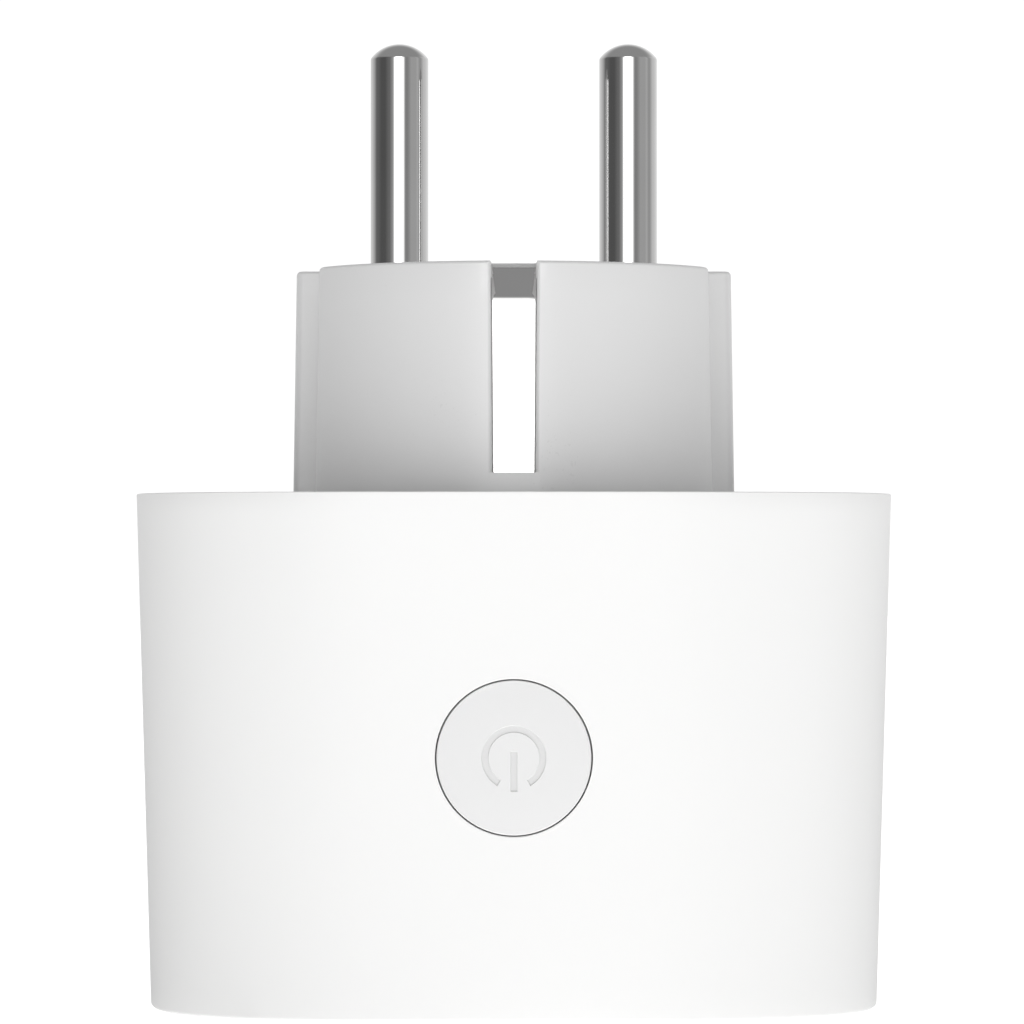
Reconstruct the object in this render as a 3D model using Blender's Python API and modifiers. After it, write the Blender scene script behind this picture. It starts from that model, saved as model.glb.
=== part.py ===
"""Wi-Fi smart plug: a plug-in adapter with two round pins on one side and an earthed outlet on the other.

X runs along the line of the pins, -Y is the button side and +Z is the way the pins point.
The origin is the middle of the outlet face. All sizes are in metres.
"""

import math

import bmesh
import bpy
from mathutils import Matrix, Vector

# --- Housing ---------------------------------------------------------------
BODY_HEIGHT = 0.0417
BODY_HALF_X_BASE = 0.02977
BODY_HALF_X_TOP = 0.03096
BODY_HALF_Y_BASE = 0.0234
BODY_HALF_Y_TOP = 0.0246
BODY_CORNER_BASE = 0.0164
BODY_CORNER_TOP = 0.0176
BODY_CROWN = 0.00025
BODY_WALL = 0.0018
BODY_EDGE = 0.0005
RIM_WIDTH = 0.0012
LEDGE_Z = 0.0396
GAP = 0.0003
CORNER_STEPS = 8
FACE_STEPS = 6
SIDE_STEPS = 3

# --- Plug side -------------------------------------------------------------
PIN_SPACING = 0.019
PIN_RADIUS = 0.0024
PIN_LENGTH = 0.019
PIN_DOME = 0.0013
PIN_TAIL_RADIUS = 0.0012
PIN_TAIL_END_Z = 0.037
PIN_FLANGE_RADIUS = 0.0031
PIN_FLANGE_LOW_Z = 0.0449
PIN_FLANGE_HIGH_Z = 0.0467
COLLAR_HEIGHT = 0.0185
COLLAR_RADIUS_BASE = 0.0183
COLLAR_RADIUS_TOP = 0.01802
COLLAR_ROOF = 0.002
COLLAR_CAVITY_HALF = (0.013, 0.0142)
COLLAR_CAVITY_CORNER = 0.007
NOTCH_FLOOR_X = 0.0148
NOTCH_HALF_Y = (0.0022, 0.0083)
SLOT_WIDTH = 0.0036
SLOT_LEDGE = 0.0016
SLOT_BACK_Y = 0.0156
EARTH_STRIP_WIDTH = 0.003
EARTH_STRIP_THICKNESS = 0.0008
EARTH_STRIP_Y = 0.0166
EARTH_STRIP_BEND_Z = 0.0571
EARTH_STRIP_TOP = (0.0148, 0.0596)

# --- Outlet side -----------------------------------------------------------
RECESS_RADIUS = 0.0195
RECESS_DEPTH = 0.0175
CUP_RADIUS = 0.0206
CUP_FLOOR = 0.002
CUP_FLANGE_RADIUS = 0.0214
CUP_FLANGE_Z = (0.0021, 0.0036)
PIN_HOLE_RADIUS = 0.00295
GUIDE_RIB_X = 0.0162
GUIDE_RIB_HALF_Y = (0.003, 0.0076)
CLIP_WINDOW_HALF_X = 0.0032
CLIP_WINDOW_Z = (0.0042, 0.0152)
CLIP_WIDTH = 0.0054
CLIP_THICKNESS = 0.0005
CLIP_PIVOT = (0.0202, 0.0135)
EARTH_RING_RADII = (0.02085, 0.02135)
EARTH_RING_Z = (0.0039, 0.0079)

# --- Shutter and contacts --------------------------------------------------
PIVOT_RADIUS = 0.0014
SHUTTER_Z = (0.0198, 0.022)
SHUTTER_REACH = 0.0132
SHUTTER_HALF_WIDTH = 0.0034
SHUTTER_HUB = 0.0046
CARRIER_HALF = (0.015, 0.0065)
CARRIER_Z = (0.0243, 0.0366)
CARRIER_POCKET = (0.0042, 0.0052)
CARRIER_SCREW_X = 0.017
CONTACT_Z = (0.026, 0.034)

# --- Boards ----------------------------------------------------------------
BOARD_Z = (0.0374, 0.039)
BOARD_INSET = 0.004
BOARD_UNDERSIDE = BOARD_Z[0] - GAP
CONTROL_BOARD_Y = (-0.0176, -0.0162)
COVER_SCREW_X = 0.0243
BOSS_RADIUS = 0.0026

# --- Button ----------------------------------------------------------------
BUTTON_Z = 0.0208
BUTTON_HOLE_RADIUS = 0.00622
BUTTON_RADIUS = 0.0059
BUTTON_FACE_Y = -0.024
BUTTON_TRAVEL = 0.0005
SWITCH_Z = 0.0232
SYMBOL_RADII = (0.00199, 0.00255)
SYMBOL_OPENING_DEG = 31.4
SYMBOL_BAR_HALF = 0.000285
SYMBOL_BAR_Z = (-0.00263, 0.0005)
SYMBOL_DEPTH = 0.00025

COLLAR_TOP_Z = BODY_HEIGHT + COLLAR_HEIGHT
PIN_TIP_Z = COLLAR_TOP_Z + PIN_LENGTH
PIN_X = PIN_SPACING / 2
CUP_FLOOR_TOP = RECESS_DEPTH + CUP_FLOOR

MATERIALS = {
    "white_shell": ((0.86, 0.86, 0.85), 0.42, 0.0),
    "white_button": ((0.8, 0.8, 0.8), 0.35, 0.0),
    "light_pipe": ((0.82, 0.84, 0.86), 0.2, 0.0),
    "inner_plastic": ((0.74, 0.73, 0.68), 0.5, 0.0),
    "nickel": ((0.72, 0.71, 0.69), 0.14, 1.0),
    "spring_steel": ((0.6, 0.6, 0.6), 0.25, 1.0),
    "copper_alloy": ((0.78, 0.55, 0.3), 0.25, 1.0),
    "copper_wire": ((0.72, 0.36, 0.2), 0.3, 1.0),
    "zinc_screw": ((0.66, 0.67, 0.69), 0.28, 1.0),
    "board_green": ((0.05, 0.2, 0.1), 0.4, 0.0),
    "relay_case": ((0.05, 0.12, 0.32), 0.35, 0.0),
    "ferrite": ((0.09, 0.09, 0.1), 0.6, 0.0),
    "winding_tape": ((0.75, 0.58, 0.12), 0.4, 0.0),
    "capacitor_sleeve": ((0.05, 0.05, 0.07), 0.3, 0.0),
    "film_box": ((0.72, 0.6, 0.14), 0.4, 0.0),
    "varistor_blue": ((0.06, 0.2, 0.42), 0.45, 0.0),
    "resistor_body": ((0.35, 0.42, 0.36), 0.5, 0.0),
    "black_epoxy": ((0.03, 0.03, 0.035), 0.5, 0.0),
    "shield_can": ((0.7, 0.7, 0.71), 0.22, 1.0),
    "led_lens": ((0.85, 0.86, 0.8), 0.15, 0.0),
}

parts = None
cutters = None
assembly = None


def clear_scene():
    for old in list(bpy.data.objects):
        bpy.data.objects.remove(old, do_unlink=True)


def new_collection(name):
    collection = bpy.data.collections.new(name)
    bpy.context.scene.collection.children.link(collection)
    return collection


def material(name):
    found = bpy.data.materials.get(name)
    if found:
        return found
    colour, roughness, metallic = MATERIALS[name]
    made = bpy.data.materials.new(name)
    made.use_nodes = True
    shader = made.node_tree.nodes["Principled BSDF"]
    shader.inputs["Base Color"].default_value = (*colour, 1.0)
    shader.inputs["Roughness"].default_value = roughness
    shader.inputs["Metallic"].default_value = metallic
    made.diffuse_color = (*colour, 1.0)
    return made


def part(name, mesh, finish, at=(0.0, 0.0, 0.0), turn=(0.0, 0.0, 0.0), parent=None):
    """A sub-part of the plug, standing at a place under the assembly or under a joint's empty."""
    piece = bpy.data.objects.new(name, mesh)
    parts.objects.link(piece)
    mesh.materials.append(material(finish))
    piece.location = at
    piece.rotation_euler = turn
    holder = parent or assembly
    piece.parent = holder
    piece.matrix_parent_inverse = Matrix.Translation(-Vector(holder.location))
    return piece


def cutter(name, mesh, at=(0.0, 0.0, 0.0), turn=(0.0, 0.0, 0.0)):
    tool = bpy.data.objects.new(name, mesh)
    cutters.objects.link(tool)
    tool.location = at
    tool.rotation_euler = turn
    tool.hide_render = True
    tool.display_type = "WIRE"
    return tool


def joint_empty(name, at):
    empty = bpy.data.objects.new(name, None)
    parts.objects.link(empty)
    empty.location = at
    empty.empty_display_size = 0.004
    if assembly:
        empty.parent = assembly
    return empty


def finish_mesh(name, bm):
    bmesh.ops.recalc_face_normals(bm, faces=bm.faces)
    mesh = bpy.data.meshes.new(name)
    bm.to_mesh(mesh)
    bm.free()
    return mesh


def round_shading(piece, angle=35.0):
    piece.data.shade_smooth()
    piece.data.set_sharp_from_angle(angle=math.radians(angle))


def combine(piece, tool, operation):
    step = piece.modifiers.new(f"{operation.lower()}_{tool.name}", "BOOLEAN")
    step.operation = operation
    step.solver = "EXACT"
    step.object = tool


def cut(piece, *tools):
    for tool in tools:
        combine(piece, tool, "DIFFERENCE")


def add(piece, *tools):
    for tool in tools:
        combine(piece, tool, "UNION")


def box_mesh(name, low, high):
    """A box between two corners."""
    bm = bmesh.new()
    bmesh.ops.create_cube(bm, size=1.0)
    size = Vector(high) - Vector(low)
    centre = (Vector(high) + Vector(low)) / 2
    bmesh.ops.scale(bm, vec=size, verts=bm.verts)
    bmesh.ops.translate(bm, vec=centre, verts=bm.verts)
    return finish_mesh(name, bm)


def rod_mesh(name, radius, low, high, segments=32, radius_high=None):
    """A round rod along Z, or a cone when its two radii differ."""
    bm = bmesh.new()
    top = radius if radius_high is None else radius_high
    bmesh.ops.create_cone(bm, cap_ends=True, segments=segments, radius1=radius, radius2=top, depth=high - low)
    bmesh.ops.translate(bm, vec=(0.0, 0.0, (low + high) / 2), verts=bm.verts)
    return finish_mesh(name, bm)


def bevel(piece, width, segments=1):
    edge = piece.modifiers.new("edges", "BEVEL")
    edge.width = width
    edge.segments = segments
    edge.limit_method = "ANGLE"
    edge.angle_limit = math.radians(50.0)


def turned_mesh(name, profile, segments, closed=False):
    """A profile in X and Z, listed down its outer side, turned about Z by a Screw modifier."""
    mesh = bpy.data.meshes.new(name)
    edges = [(i, i + 1) for i in range(len(profile) - 1)]
    if closed:
        edges.append((len(profile) - 1, 0))
    mesh.from_pydata([(x, 0.0, z) for x, z in profile], edges, [])
    turning = bpy.data.objects.new(name, mesh)
    bpy.context.scene.collection.objects.link(turning)
    screw = turning.modifiers.new("turn", "SCREW")
    screw.steps = segments
    screw.render_steps = segments
    screw.use_merge_vertices = True
    screw.merge_threshold = 0.00001
    return baked(turning, name)


def baked(source, name):
    """The evaluated mesh of a helper object, welded, with the helper removed."""
    evaluated = source.evaluated_get(bpy.context.evaluated_depsgraph_get())
    mesh = bpy.data.meshes.new_from_object(evaluated)
    bpy.data.objects.remove(source, do_unlink=True)
    bm = bmesh.new()
    bm.from_mesh(mesh)
    bmesh.ops.remove_doubles(bm, verts=bm.verts, dist=0.000002)
    bmesh.ops.recalc_face_normals(bm, faces=bm.faces)
    bm.to_mesh(mesh)
    bm.free()
    mesh.name = name
    mesh.materials.clear()
    return mesh


def prism_mesh(name, outline, low, high, plane="XY"):
    """A flat outline extruded between two distances along the axis that its plane leaves out."""
    curve = bpy.data.curves.new(name, "CURVE")
    curve.dimensions = "2D"
    curve.fill_mode = "BOTH"
    curve.extrude = (high - low) / 2
    spline = curve.splines.new("POLY")
    spline.points.add(len(outline) - 1)
    for point, (u, v) in zip(spline.points, outline):
        point.co = (u, v, 0.0, 1.0)
    spline.use_cyclic_u = True
    helper = bpy.data.objects.new(name, curve)
    bpy.context.scene.collection.objects.link(helper)
    mesh = baked(helper, name)
    mesh.transform(Matrix.Translation((0.0, 0.0, (low + high) / 2)))
    if plane == "YZ":
        mesh.transform(Matrix(((0, 0, 1, 0), (1, 0, 0, 0), (0, 1, 0, 0), (0, 0, 0, 1))))
    if plane == "XZ":
        mesh.transform(Matrix(((1, 0, 0, 0), (0, 0, -1, 0), (0, 1, 0, 0), (0, 0, 0, 1))))
    return mesh


def wire_mesh(name, points, radius):
    """A round wire through a list of points, with closed ends."""
    curve = bpy.data.curves.new(name, "CURVE")
    curve.dimensions = "3D"
    curve.bevel_depth = radius
    curve.bevel_resolution = 2
    curve.use_fill_caps = True
    spline = curve.splines.new("POLY")
    spline.points.add(len(points) - 1)
    for point, place in zip(spline.points, points):
        point.co = (*place, 1.0)
    helper = bpy.data.objects.new(name, curve)
    bpy.context.scene.collection.objects.link(helper)
    return baked(helper, name)


def ribbon_outline(path, thickness):
    """The outline of a folded strip of even thickness along a path in a plane."""
    path = [Vector(p) for p in path]
    left, right = [], []
    for i, here in enumerate(path):
        before = (here - path[i - 1]).normalized() if i else (path[1] - here).normalized()
        after = (path[i + 1] - here).normalized() if i < len(path) - 1 else before
        bisector = (before + after).normalized()
        normal = Vector((-bisector.y, bisector.x))
        reach = thickness / 2 / max(bisector.dot(before), 0.5)
        left.append(here + normal * reach)
        right.append(here - normal * reach)
    return [tuple(p) for p in left + right[::-1]]


def arc_points(centre, radius, start_deg, end_deg, steps):
    """Points on an arc, both ends included."""
    found = []
    for i in range(steps + 1):
        angle = math.radians(start_deg + (end_deg - start_deg) * i / steps)
        found.append((centre[0] + radius * math.cos(angle), centre[1] + radius * math.sin(angle)))
    return found


def housing_outline(z, inset):
    """The housing's outline at a height, drawn inwards by an inset: round corners, faintly crowned sides."""
    share = z / BODY_HEIGHT
    half_x = BODY_HALF_X_BASE + (BODY_HALF_X_TOP - BODY_HALF_X_BASE) * share - inset
    half_y = BODY_HALF_Y_BASE + (BODY_HALF_Y_TOP - BODY_HALF_Y_BASE) * share - inset
    corner = BODY_CORNER_BASE + (BODY_CORNER_TOP - BODY_CORNER_BASE) * share - inset
    flat_x = half_x - corner
    flat_y = half_y - corner - BODY_CROWN
    points = []
    for quarter, (sx, sy) in enumerate(((1, 1), (-1, 1), (-1, -1), (1, -1))):
        start = 90.0 * quarter
        points += arc_points((sx * flat_x, sy * flat_y), corner, start, start + 90.0, CORNER_STEPS)
        if quarter in (0, 2):
            for i in range(1, FACE_STEPS):
                x = sx * flat_x * (1 - 2 * i / FACE_STEPS)
                rise = BODY_CROWN * (1 - (x / flat_x) ** 2)
                points.append((x, sy * (flat_y + corner + rise)))
        else:
            for i in range(1, SIDE_STEPS):
                points.append((sx * half_x, sy * flat_y * (1 - 2 * i / SIDE_STEPS)))
    return points


def ring_at(outline, z):
    return [(x, y, z) for x, y in outline]


def circle_like(outline, radius):
    """A circle whose points lie in the same directions as an outline's points."""
    return [tuple(Vector(p).normalized() * radius) for p in outline]


def looped_mesh(name, rings):
    """A closed wall lofted through rings, the last joined back to the first."""
    bm = bmesh.new()
    rows = [[bm.verts.new(p) for p in ring] for ring in rings]
    for a, b in zip(rows, rows[1:] + rows[:1]):
        for i in range(len(a)):
            j = (i + 1) % len(a)
            bm.faces.new((a[i], a[j], b[j], b[i]))
    return finish_mesh(name, bm)


def rounded_box_mesh(name, half, corner, low, high, steps=6):
    outline = []
    for quarter, (sx, sy) in enumerate(((1, 1), (-1, 1), (-1, -1), (1, -1))):
        centre = (sx * (half[0] - corner), sy * (half[1] - corner))
        outline += arc_points(centre, corner, 90.0 * quarter, 90.0 * quarter + 90.0, steps)
    return prism_mesh(name, outline, low, high)


def make_body_shell():
    """The outer casing: one moulded wall, open to the cover above and to the outlet cup below."""
    bottom = housing_outline(0.0, BODY_EDGE)
    hole = circle_like(bottom, CUP_RADIUS + GAP)
    top_edge = GAP * 0.7
    soft = BODY_EDGE * 0.29
    rings = [
        ring_at(bottom, 0.0),
        ring_at(housing_outline(soft, soft), soft),
        ring_at(housing_outline(BODY_EDGE, 0.0), BODY_EDGE),
        ring_at(housing_outline(BODY_HEIGHT - top_edge, 0.0), BODY_HEIGHT - top_edge),
        ring_at(housing_outline(BODY_HEIGHT, top_edge), BODY_HEIGHT),
        ring_at(housing_outline(BODY_HEIGHT, RIM_WIDTH), BODY_HEIGHT),
        ring_at(housing_outline(LEDGE_Z, RIM_WIDTH), LEDGE_Z),
        ring_at(housing_outline(LEDGE_Z, BODY_WALL), LEDGE_Z),
        ring_at(housing_outline(BODY_WALL, BODY_WALL), BODY_WALL),
        ring_at(hole, BODY_WALL),
        ring_at(hole, 0.0),
    ]
    shell = part("body_shell", looped_mesh("body_shell", rings), "white_shell")
    boss_low = BODY_WALL / 2
    pilot_radius = 0.0014
    pilot_low = 0.031
    for side in (-1, 1):
        place = (side * COVER_SCREW_X, 0.0, 0.0)
        boss = rod_mesh("screw_boss", BOSS_RADIUS, boss_low, LEDGE_Z, 24)
        add(shell, cutter(f"screw_boss_{side}", boss, place))
        pilot = rod_mesh("boss_pilot", pilot_radius, pilot_low, BODY_HEIGHT, 16)
        cut(shell, cutter(f"boss_pilot_{side}", pilot, place))
    facing = (math.radians(90.0), 0.0, 0.0)
    middle = (0.0, 0.0, BUTTON_Z)
    pocket = rod_mesh("button_pocket", 0.009, 0.0205, 0.0227, 40)
    hole_tool = rod_mesh("button_hole", BUTTON_HOLE_RADIUS, 0.0204, 0.026, 48)
    cut(shell, cutter("button_pocket", pocket, middle, facing))
    cut(shell, cutter("button_hole", hole_tool, middle, facing))
    round_shading(shell)


def make_plug_cover():
    """The wall-side cover: a plate set into the casing, with the round collar that enters the wall outlet."""
    collar_low = BODY_HEIGHT - GAP
    above = COLLAR_TOP_Z + 0.001
    collar = rod_mesh("plug_cover", COLLAR_RADIUS_BASE, collar_low, COLLAR_TOP_Z, 72, COLLAR_RADIUS_TOP)
    cover = part("plug_cover", collar, "white_shell")
    bevel(cover, 0.0003)
    for sx in (-1, 1):
        for sy in (-1, 1):
            near, far = sorted((sx * NOTCH_FLOOR_X, sx * 0.02))
            low_y, high_y = sorted((sy * NOTCH_HALF_Y[0], sy * NOTCH_HALF_Y[1]))
            notch = box_mesh("guide_notch", (near, low_y, collar_low - GAP), (far, high_y, above))
            cut(cover, cutter(f"guide_notch_{sx}_{sy}", notch))
    plate_inset = RIM_WIDTH + GAP
    plate = prism_mesh("plate", housing_outline(BODY_HEIGHT, plate_inset), LEDGE_Z + GAP, BODY_HEIGHT)
    add(cover, cutter("cover_plate", plate))
    roof_z = COLLAR_TOP_Z - COLLAR_ROOF
    below = LEDGE_Z - GAP
    cavity = rounded_box_mesh("cavity", COLLAR_CAVITY_HALF, COLLAR_CAVITY_CORNER, below, roof_z)
    cut(cover, cutter("collar_cavity", cavity))
    half_slot = SLOT_WIDTH / 2
    for sy in (-1, 1):
        slot_low, slot_high = sorted((sy * SLOT_BACK_Y, sy * 0.02))
        slot_z = BODY_HEIGHT + SLOT_LEDGE
        slot = box_mesh("earth_slot", (-half_slot, slot_low, slot_z), (half_slot, slot_high, above))
        cut(cover, cutter(f"earth_slot_{sy}", slot))
        mouth_low, mouth_high = sorted((sy * 0.0136, sy * 0.017))
        mouth_z = EARTH_STRIP_BEND_Z - 0.0005
        mouth = box_mesh("slot_mouth", (-half_slot, mouth_low, mouth_z), (half_slot, mouth_high, above))
        cut(cover, cutter(f"slot_mouth_{sy}", mouth))
        margin = EARTH_STRIP_THICKNESS / 2 + GAP
        pass_low, pass_high = sorted((sy * (EARTH_STRIP_Y - margin), sy * (EARTH_STRIP_Y + margin)))
        passage = box_mesh("strip_passage", (-half_slot, pass_low, below), (half_slot, pass_high, slot_z + 0.001))
        cut(cover, cutter(f"strip_passage_{sy}", passage))
    head_recess_z = BODY_HEIGHT - 0.0011
    for side in (-1, 1):
        hole = rod_mesh("pin_exit", PIN_RADIUS + GAP, roof_z - 0.001, above, 28)
        cut(cover, cutter(f"pin_exit_{side}", hole, (side * PIN_X, 0.0, 0.0)))
        place = (side * COVER_SCREW_X, 0.0, 0.0)
        recess = rod_mesh("head_recess", 0.0024, head_recess_z, BODY_HEIGHT + 0.001, 24)
        shank = rod_mesh("shank_hole", 0.0014, below, BODY_HEIGHT, 16)
        cut(cover, cutter(f"head_recess_{side}", recess, place), cutter(f"shank_hole_{side}", shank, place))
    round_shading(cover)


def make_pins():
    """Two round contact pins, each with a flange and a solder tail, and the insulators that hold them."""
    dome_steps = 5
    profile = [(0.0, PIN_TIP_Z)]
    face = PIN_RADIUS * 0.45
    for i in range(dome_steps + 1):
        angle = math.radians(90.0 - 90.0 * i / dome_steps)
        x = face + (PIN_RADIUS - face) * math.cos(angle)
        z = PIN_TIP_Z - PIN_DOME + PIN_DOME * math.sin(angle)
        profile.append((x, z))
    profile += [
        (PIN_RADIUS, PIN_FLANGE_HIGH_Z),
        (PIN_FLANGE_RADIUS, PIN_FLANGE_HIGH_Z),
        (PIN_FLANGE_RADIUS, PIN_FLANGE_LOW_Z),
        (PIN_TAIL_RADIUS, PIN_FLANGE_LOW_Z),
        (PIN_TAIL_RADIUS, PIN_TAIL_END_Z),
        (0.0, PIN_TAIL_END_Z),
    ]
    for name, side in (("live_pin", -1), ("neutral_pin", 1)):
        pin = part(name, turned_mesh(name, profile, 28), "nickel", (side * PIN_X, 0.0, 0.0))
        round_shading(pin)
    half = (COLLAR_CAVITY_HALF[0] - GAP, 0.008)
    roof_z = COLLAR_TOP_Z - COLLAR_ROOF
    carrier_low = PIN_FLANGE_HIGH_Z + GAP
    block = rounded_box_mesh("pin_carrier", half, 0.002, carrier_low, roof_z - GAP, 3)
    carrier = part("pin_carrier", block, "inner_plastic")
    hollow = box_mesh("carrier_hollow", (-0.004, -0.0055, carrier_low - GAP), (0.004, 0.0055, roof_z - 0.003))
    cut(carrier, cutter("carrier_hollow", hollow))
    plate = rounded_box_mesh("pin_retainer", half, 0.002, PIN_FLANGE_LOW_Z - 0.0021, PIN_FLANGE_LOW_Z - GAP, 3)
    retainer = part("pin_retainer", plate, "inner_plastic")
    for side in (-1, 1):
        place = (side * PIN_X, 0.0, 0.0)
        bore = rod_mesh("pin_bore", PIN_RADIUS + GAP, PIN_FLANGE_HIGH_Z, COLLAR_TOP_Z, 28)
        cut(carrier, cutter(f"pin_bore_{side}", bore, place))
        tail = rod_mesh("tail_hole", PIN_TAIL_RADIUS + GAP, BODY_HEIGHT, PIN_FLANGE_LOW_Z, 16)
        cut(retainer, cutter(f"tail_hole_{side}", tail, place))
    round_shading(carrier)
    round_shading(retainer)


def make_plug_earth():
    """The two sprung earth strips in the collar's slots, and the strap that joins them to the outlet's earth."""
    foot_z = LEDGE_Z + GAP
    half = EARTH_STRIP_WIDTH / 2
    for name, side in (("plug_earth_strip_front", -1), ("plug_earth_strip_rear", 1)):
        path = [
            (side * EARTH_STRIP_TOP[0], EARTH_STRIP_TOP[1]),
            (side * EARTH_STRIP_Y, EARTH_STRIP_BEND_Z),
            (side * EARTH_STRIP_Y, foot_z),
        ]
        outline = ribbon_outline(path, EARTH_STRIP_THICKNESS)
        part(name, prism_mesh(name, outline, -half, half, "YZ"), "nickel")
    strap_z = BOARD_Z[1] + 0.00045
    strap_y = 0.02115
    path = [
        (-EARTH_STRIP_Y - 0.0008, strap_z),
        (strap_y, strap_z),
        (strap_y, EARTH_RING_Z[1] + GAP),
    ]
    outline = ribbon_outline(path, 0.0004)
    part("earth_strap", prism_mesh("earth_strap", outline, -0.0025, 0.0025, "YZ"), "copper_alloy")


def make_socket_cup():
    """The outlet's recess: a round cup with paired guide ribs, pin holes and windows for the earth clips."""
    profile = [
        (0.0, CUP_FLOOR_TOP),
        (CUP_RADIUS, CUP_FLOOR_TOP),
        (CUP_RADIUS, CUP_FLANGE_Z[1]),
        (CUP_FLANGE_RADIUS, CUP_FLANGE_Z[1]),
        (CUP_FLANGE_RADIUS, CUP_FLANGE_Z[0]),
        (CUP_RADIUS, CUP_FLANGE_Z[0]),
        (CUP_RADIUS, 0.0),
        (RECESS_RADIUS + GAP, 0.0),
        (RECESS_RADIUS, GAP),
        (RECESS_RADIUS, RECESS_DEPTH),
        (0.0, RECESS_DEPTH),
    ]
    cup = part("socket_cup", turned_mesh("socket_cup", profile, 64), "white_shell")
    root = (RECESS_RADIUS + CUP_RADIUS) / 2
    rib_y = GUIDE_RIB_HALF_Y
    for sx in (-1, 1):
        for sy in (-1, 1):
            outline = [(GUIDE_RIB_X, rib_y[0])]
            outline += [(math.sqrt(root ** 2 - y ** 2), y) for y in rib_y]
            outline.append((GUIDE_RIB_X, rib_y[1]))
            outline = [(sx * x, sy * y) for x, y in outline]
            rib = prism_mesh("guide_rib", outline, 0.0008, RECESS_DEPTH + GAP)
            add(cup, cutter(f"guide_rib_{sx}_{sy}", rib))
        hole = rod_mesh("pin_hole", PIN_HOLE_RADIUS, RECESS_DEPTH - 0.001, CUP_FLOOR_TOP + 0.001, 28)
        cut(cup, cutter(f"pin_hole_{sx}", hole, (sx * PIN_X, 0.0, 0.0)))
        boss = rod_mesh("carrier_boss", 0.0022, CUP_FLOOR_TOP - GAP, 0.023, 20)
        add(cup, cutter(f"carrier_boss_{sx}", boss, (sx * CARRIER_SCREW_X, 0.0, 0.0)))
        pilot = rod_mesh("carrier_pilot", 0.0012, RECESS_DEPTH + 0.001, 0.0235, 12)
        cut(cup, cutter(f"carrier_pilot_{sx}", pilot, (sx * CARRIER_SCREW_X, 0.0, 0.0)))
    for sy in (-1, 1):
        near, far = sorted((sy * 0.0185, sy * 0.022))
        low = (-CLIP_WINDOW_HALF_X, near, CLIP_WINDOW_Z[0])
        high = (CLIP_WINDOW_HALF_X, far, CLIP_WINDOW_Z[1])
        cut(cup, cutter(f"clip_window_{sy}", box_mesh("clip_window", low, high)))
    post = rod_mesh("pivot_post", PIVOT_RADIUS, CUP_FLOOR_TOP - GAP, CARRIER_Z[0] - GAP, 20)
    add(cup, cutter("pivot_post", post))
    round_shading(cup)


def make_socket_earth():
    """The outlet's earth: a ring round the cup and one sprung clip on each side of the recess."""
    inner, outer = EARTH_RING_RADII
    low, high = EARTH_RING_Z
    profile = [(outer, high), (outer, low), (inner, low), (inner, high)]
    ring = part("earth_ring", turned_mesh("earth_ring", profile, 48, closed=True), "copper_alloy")
    tab = box_mesh("ring_tab", (-0.0025, -outer + 0.00005, high - 0.001), (0.0025, -inner - 0.00005, 0.0134))
    add(ring, cutter("ring_tab", tab))
    round_shading(ring)
    half = CLIP_WIDTH / 2
    for name, side in (("socket_earth_clip_front", -1), ("socket_earth_clip_rear", 1)):
        pivot = (0.0, side * CLIP_PIVOT[0], CLIP_PIVOT[1])
        empty = joint_empty(f"{name}_pivot", pivot)
        path = [(0.0, 0.0012), (0.0, 0.0), (-0.0034, -0.0049), (-0.0036, -0.0058), (-0.0032, -0.0067), (-0.0009, -0.0086)]
        outline = ribbon_outline([(side * y, z) for y, z in path], CLIP_THICKNESS)
        part(name, prism_mesh(name, outline, -half, half, "YZ"), "copper_alloy", pivot, parent=empty)


def make_shutter():
    """The child-safety shutter that turns on the cup's pivot post, and its light torsion spring."""
    middle = (SHUTTER_Z[0] + SHUTTER_Z[1]) / 2
    place = (0.0, 0.0, middle)
    pivot = joint_empty("safety_shutter_pivot", place)
    thick = (SHUTTER_Z[1] - SHUTTER_Z[0]) / 2
    hub = rod_mesh("safety_shutter", SHUTTER_HUB, -thick, thick, 32)
    shutter = part("safety_shutter", hub, "inner_plastic", place, parent=pivot)
    blade_half = (SHUTTER_REACH, SHUTTER_HALF_WIDTH)
    blade = rounded_box_mesh("shutter_blade", blade_half, 0.003, 0.0002 - thick, thick - 0.0002, 4)
    add(shutter, cutter("shutter_blade", blade, place))
    bore = rod_mesh("shutter_bore", PIVOT_RADIUS + GAP, -0.002, 0.002, 20)
    cut(shutter, cutter("shutter_bore", bore, place))
    round_shading(shutter)
    turns = 2.25
    per_turn = 14
    count = int(turns * per_turn)
    coil_radius = 0.0024
    low, high = 0.02255, 0.02385
    points = []
    for i in range(count + 1):
        angle = 2 * math.pi * i / per_turn
        z = low + (high - low) * i / count
        points.append((coil_radius * math.cos(angle), coil_radius * math.sin(angle), z))
    spring = part("shutter_spring", wire_mesh("shutter_spring", points, 0.0002), "spring_steel")
    round_shading(spring)


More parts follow.
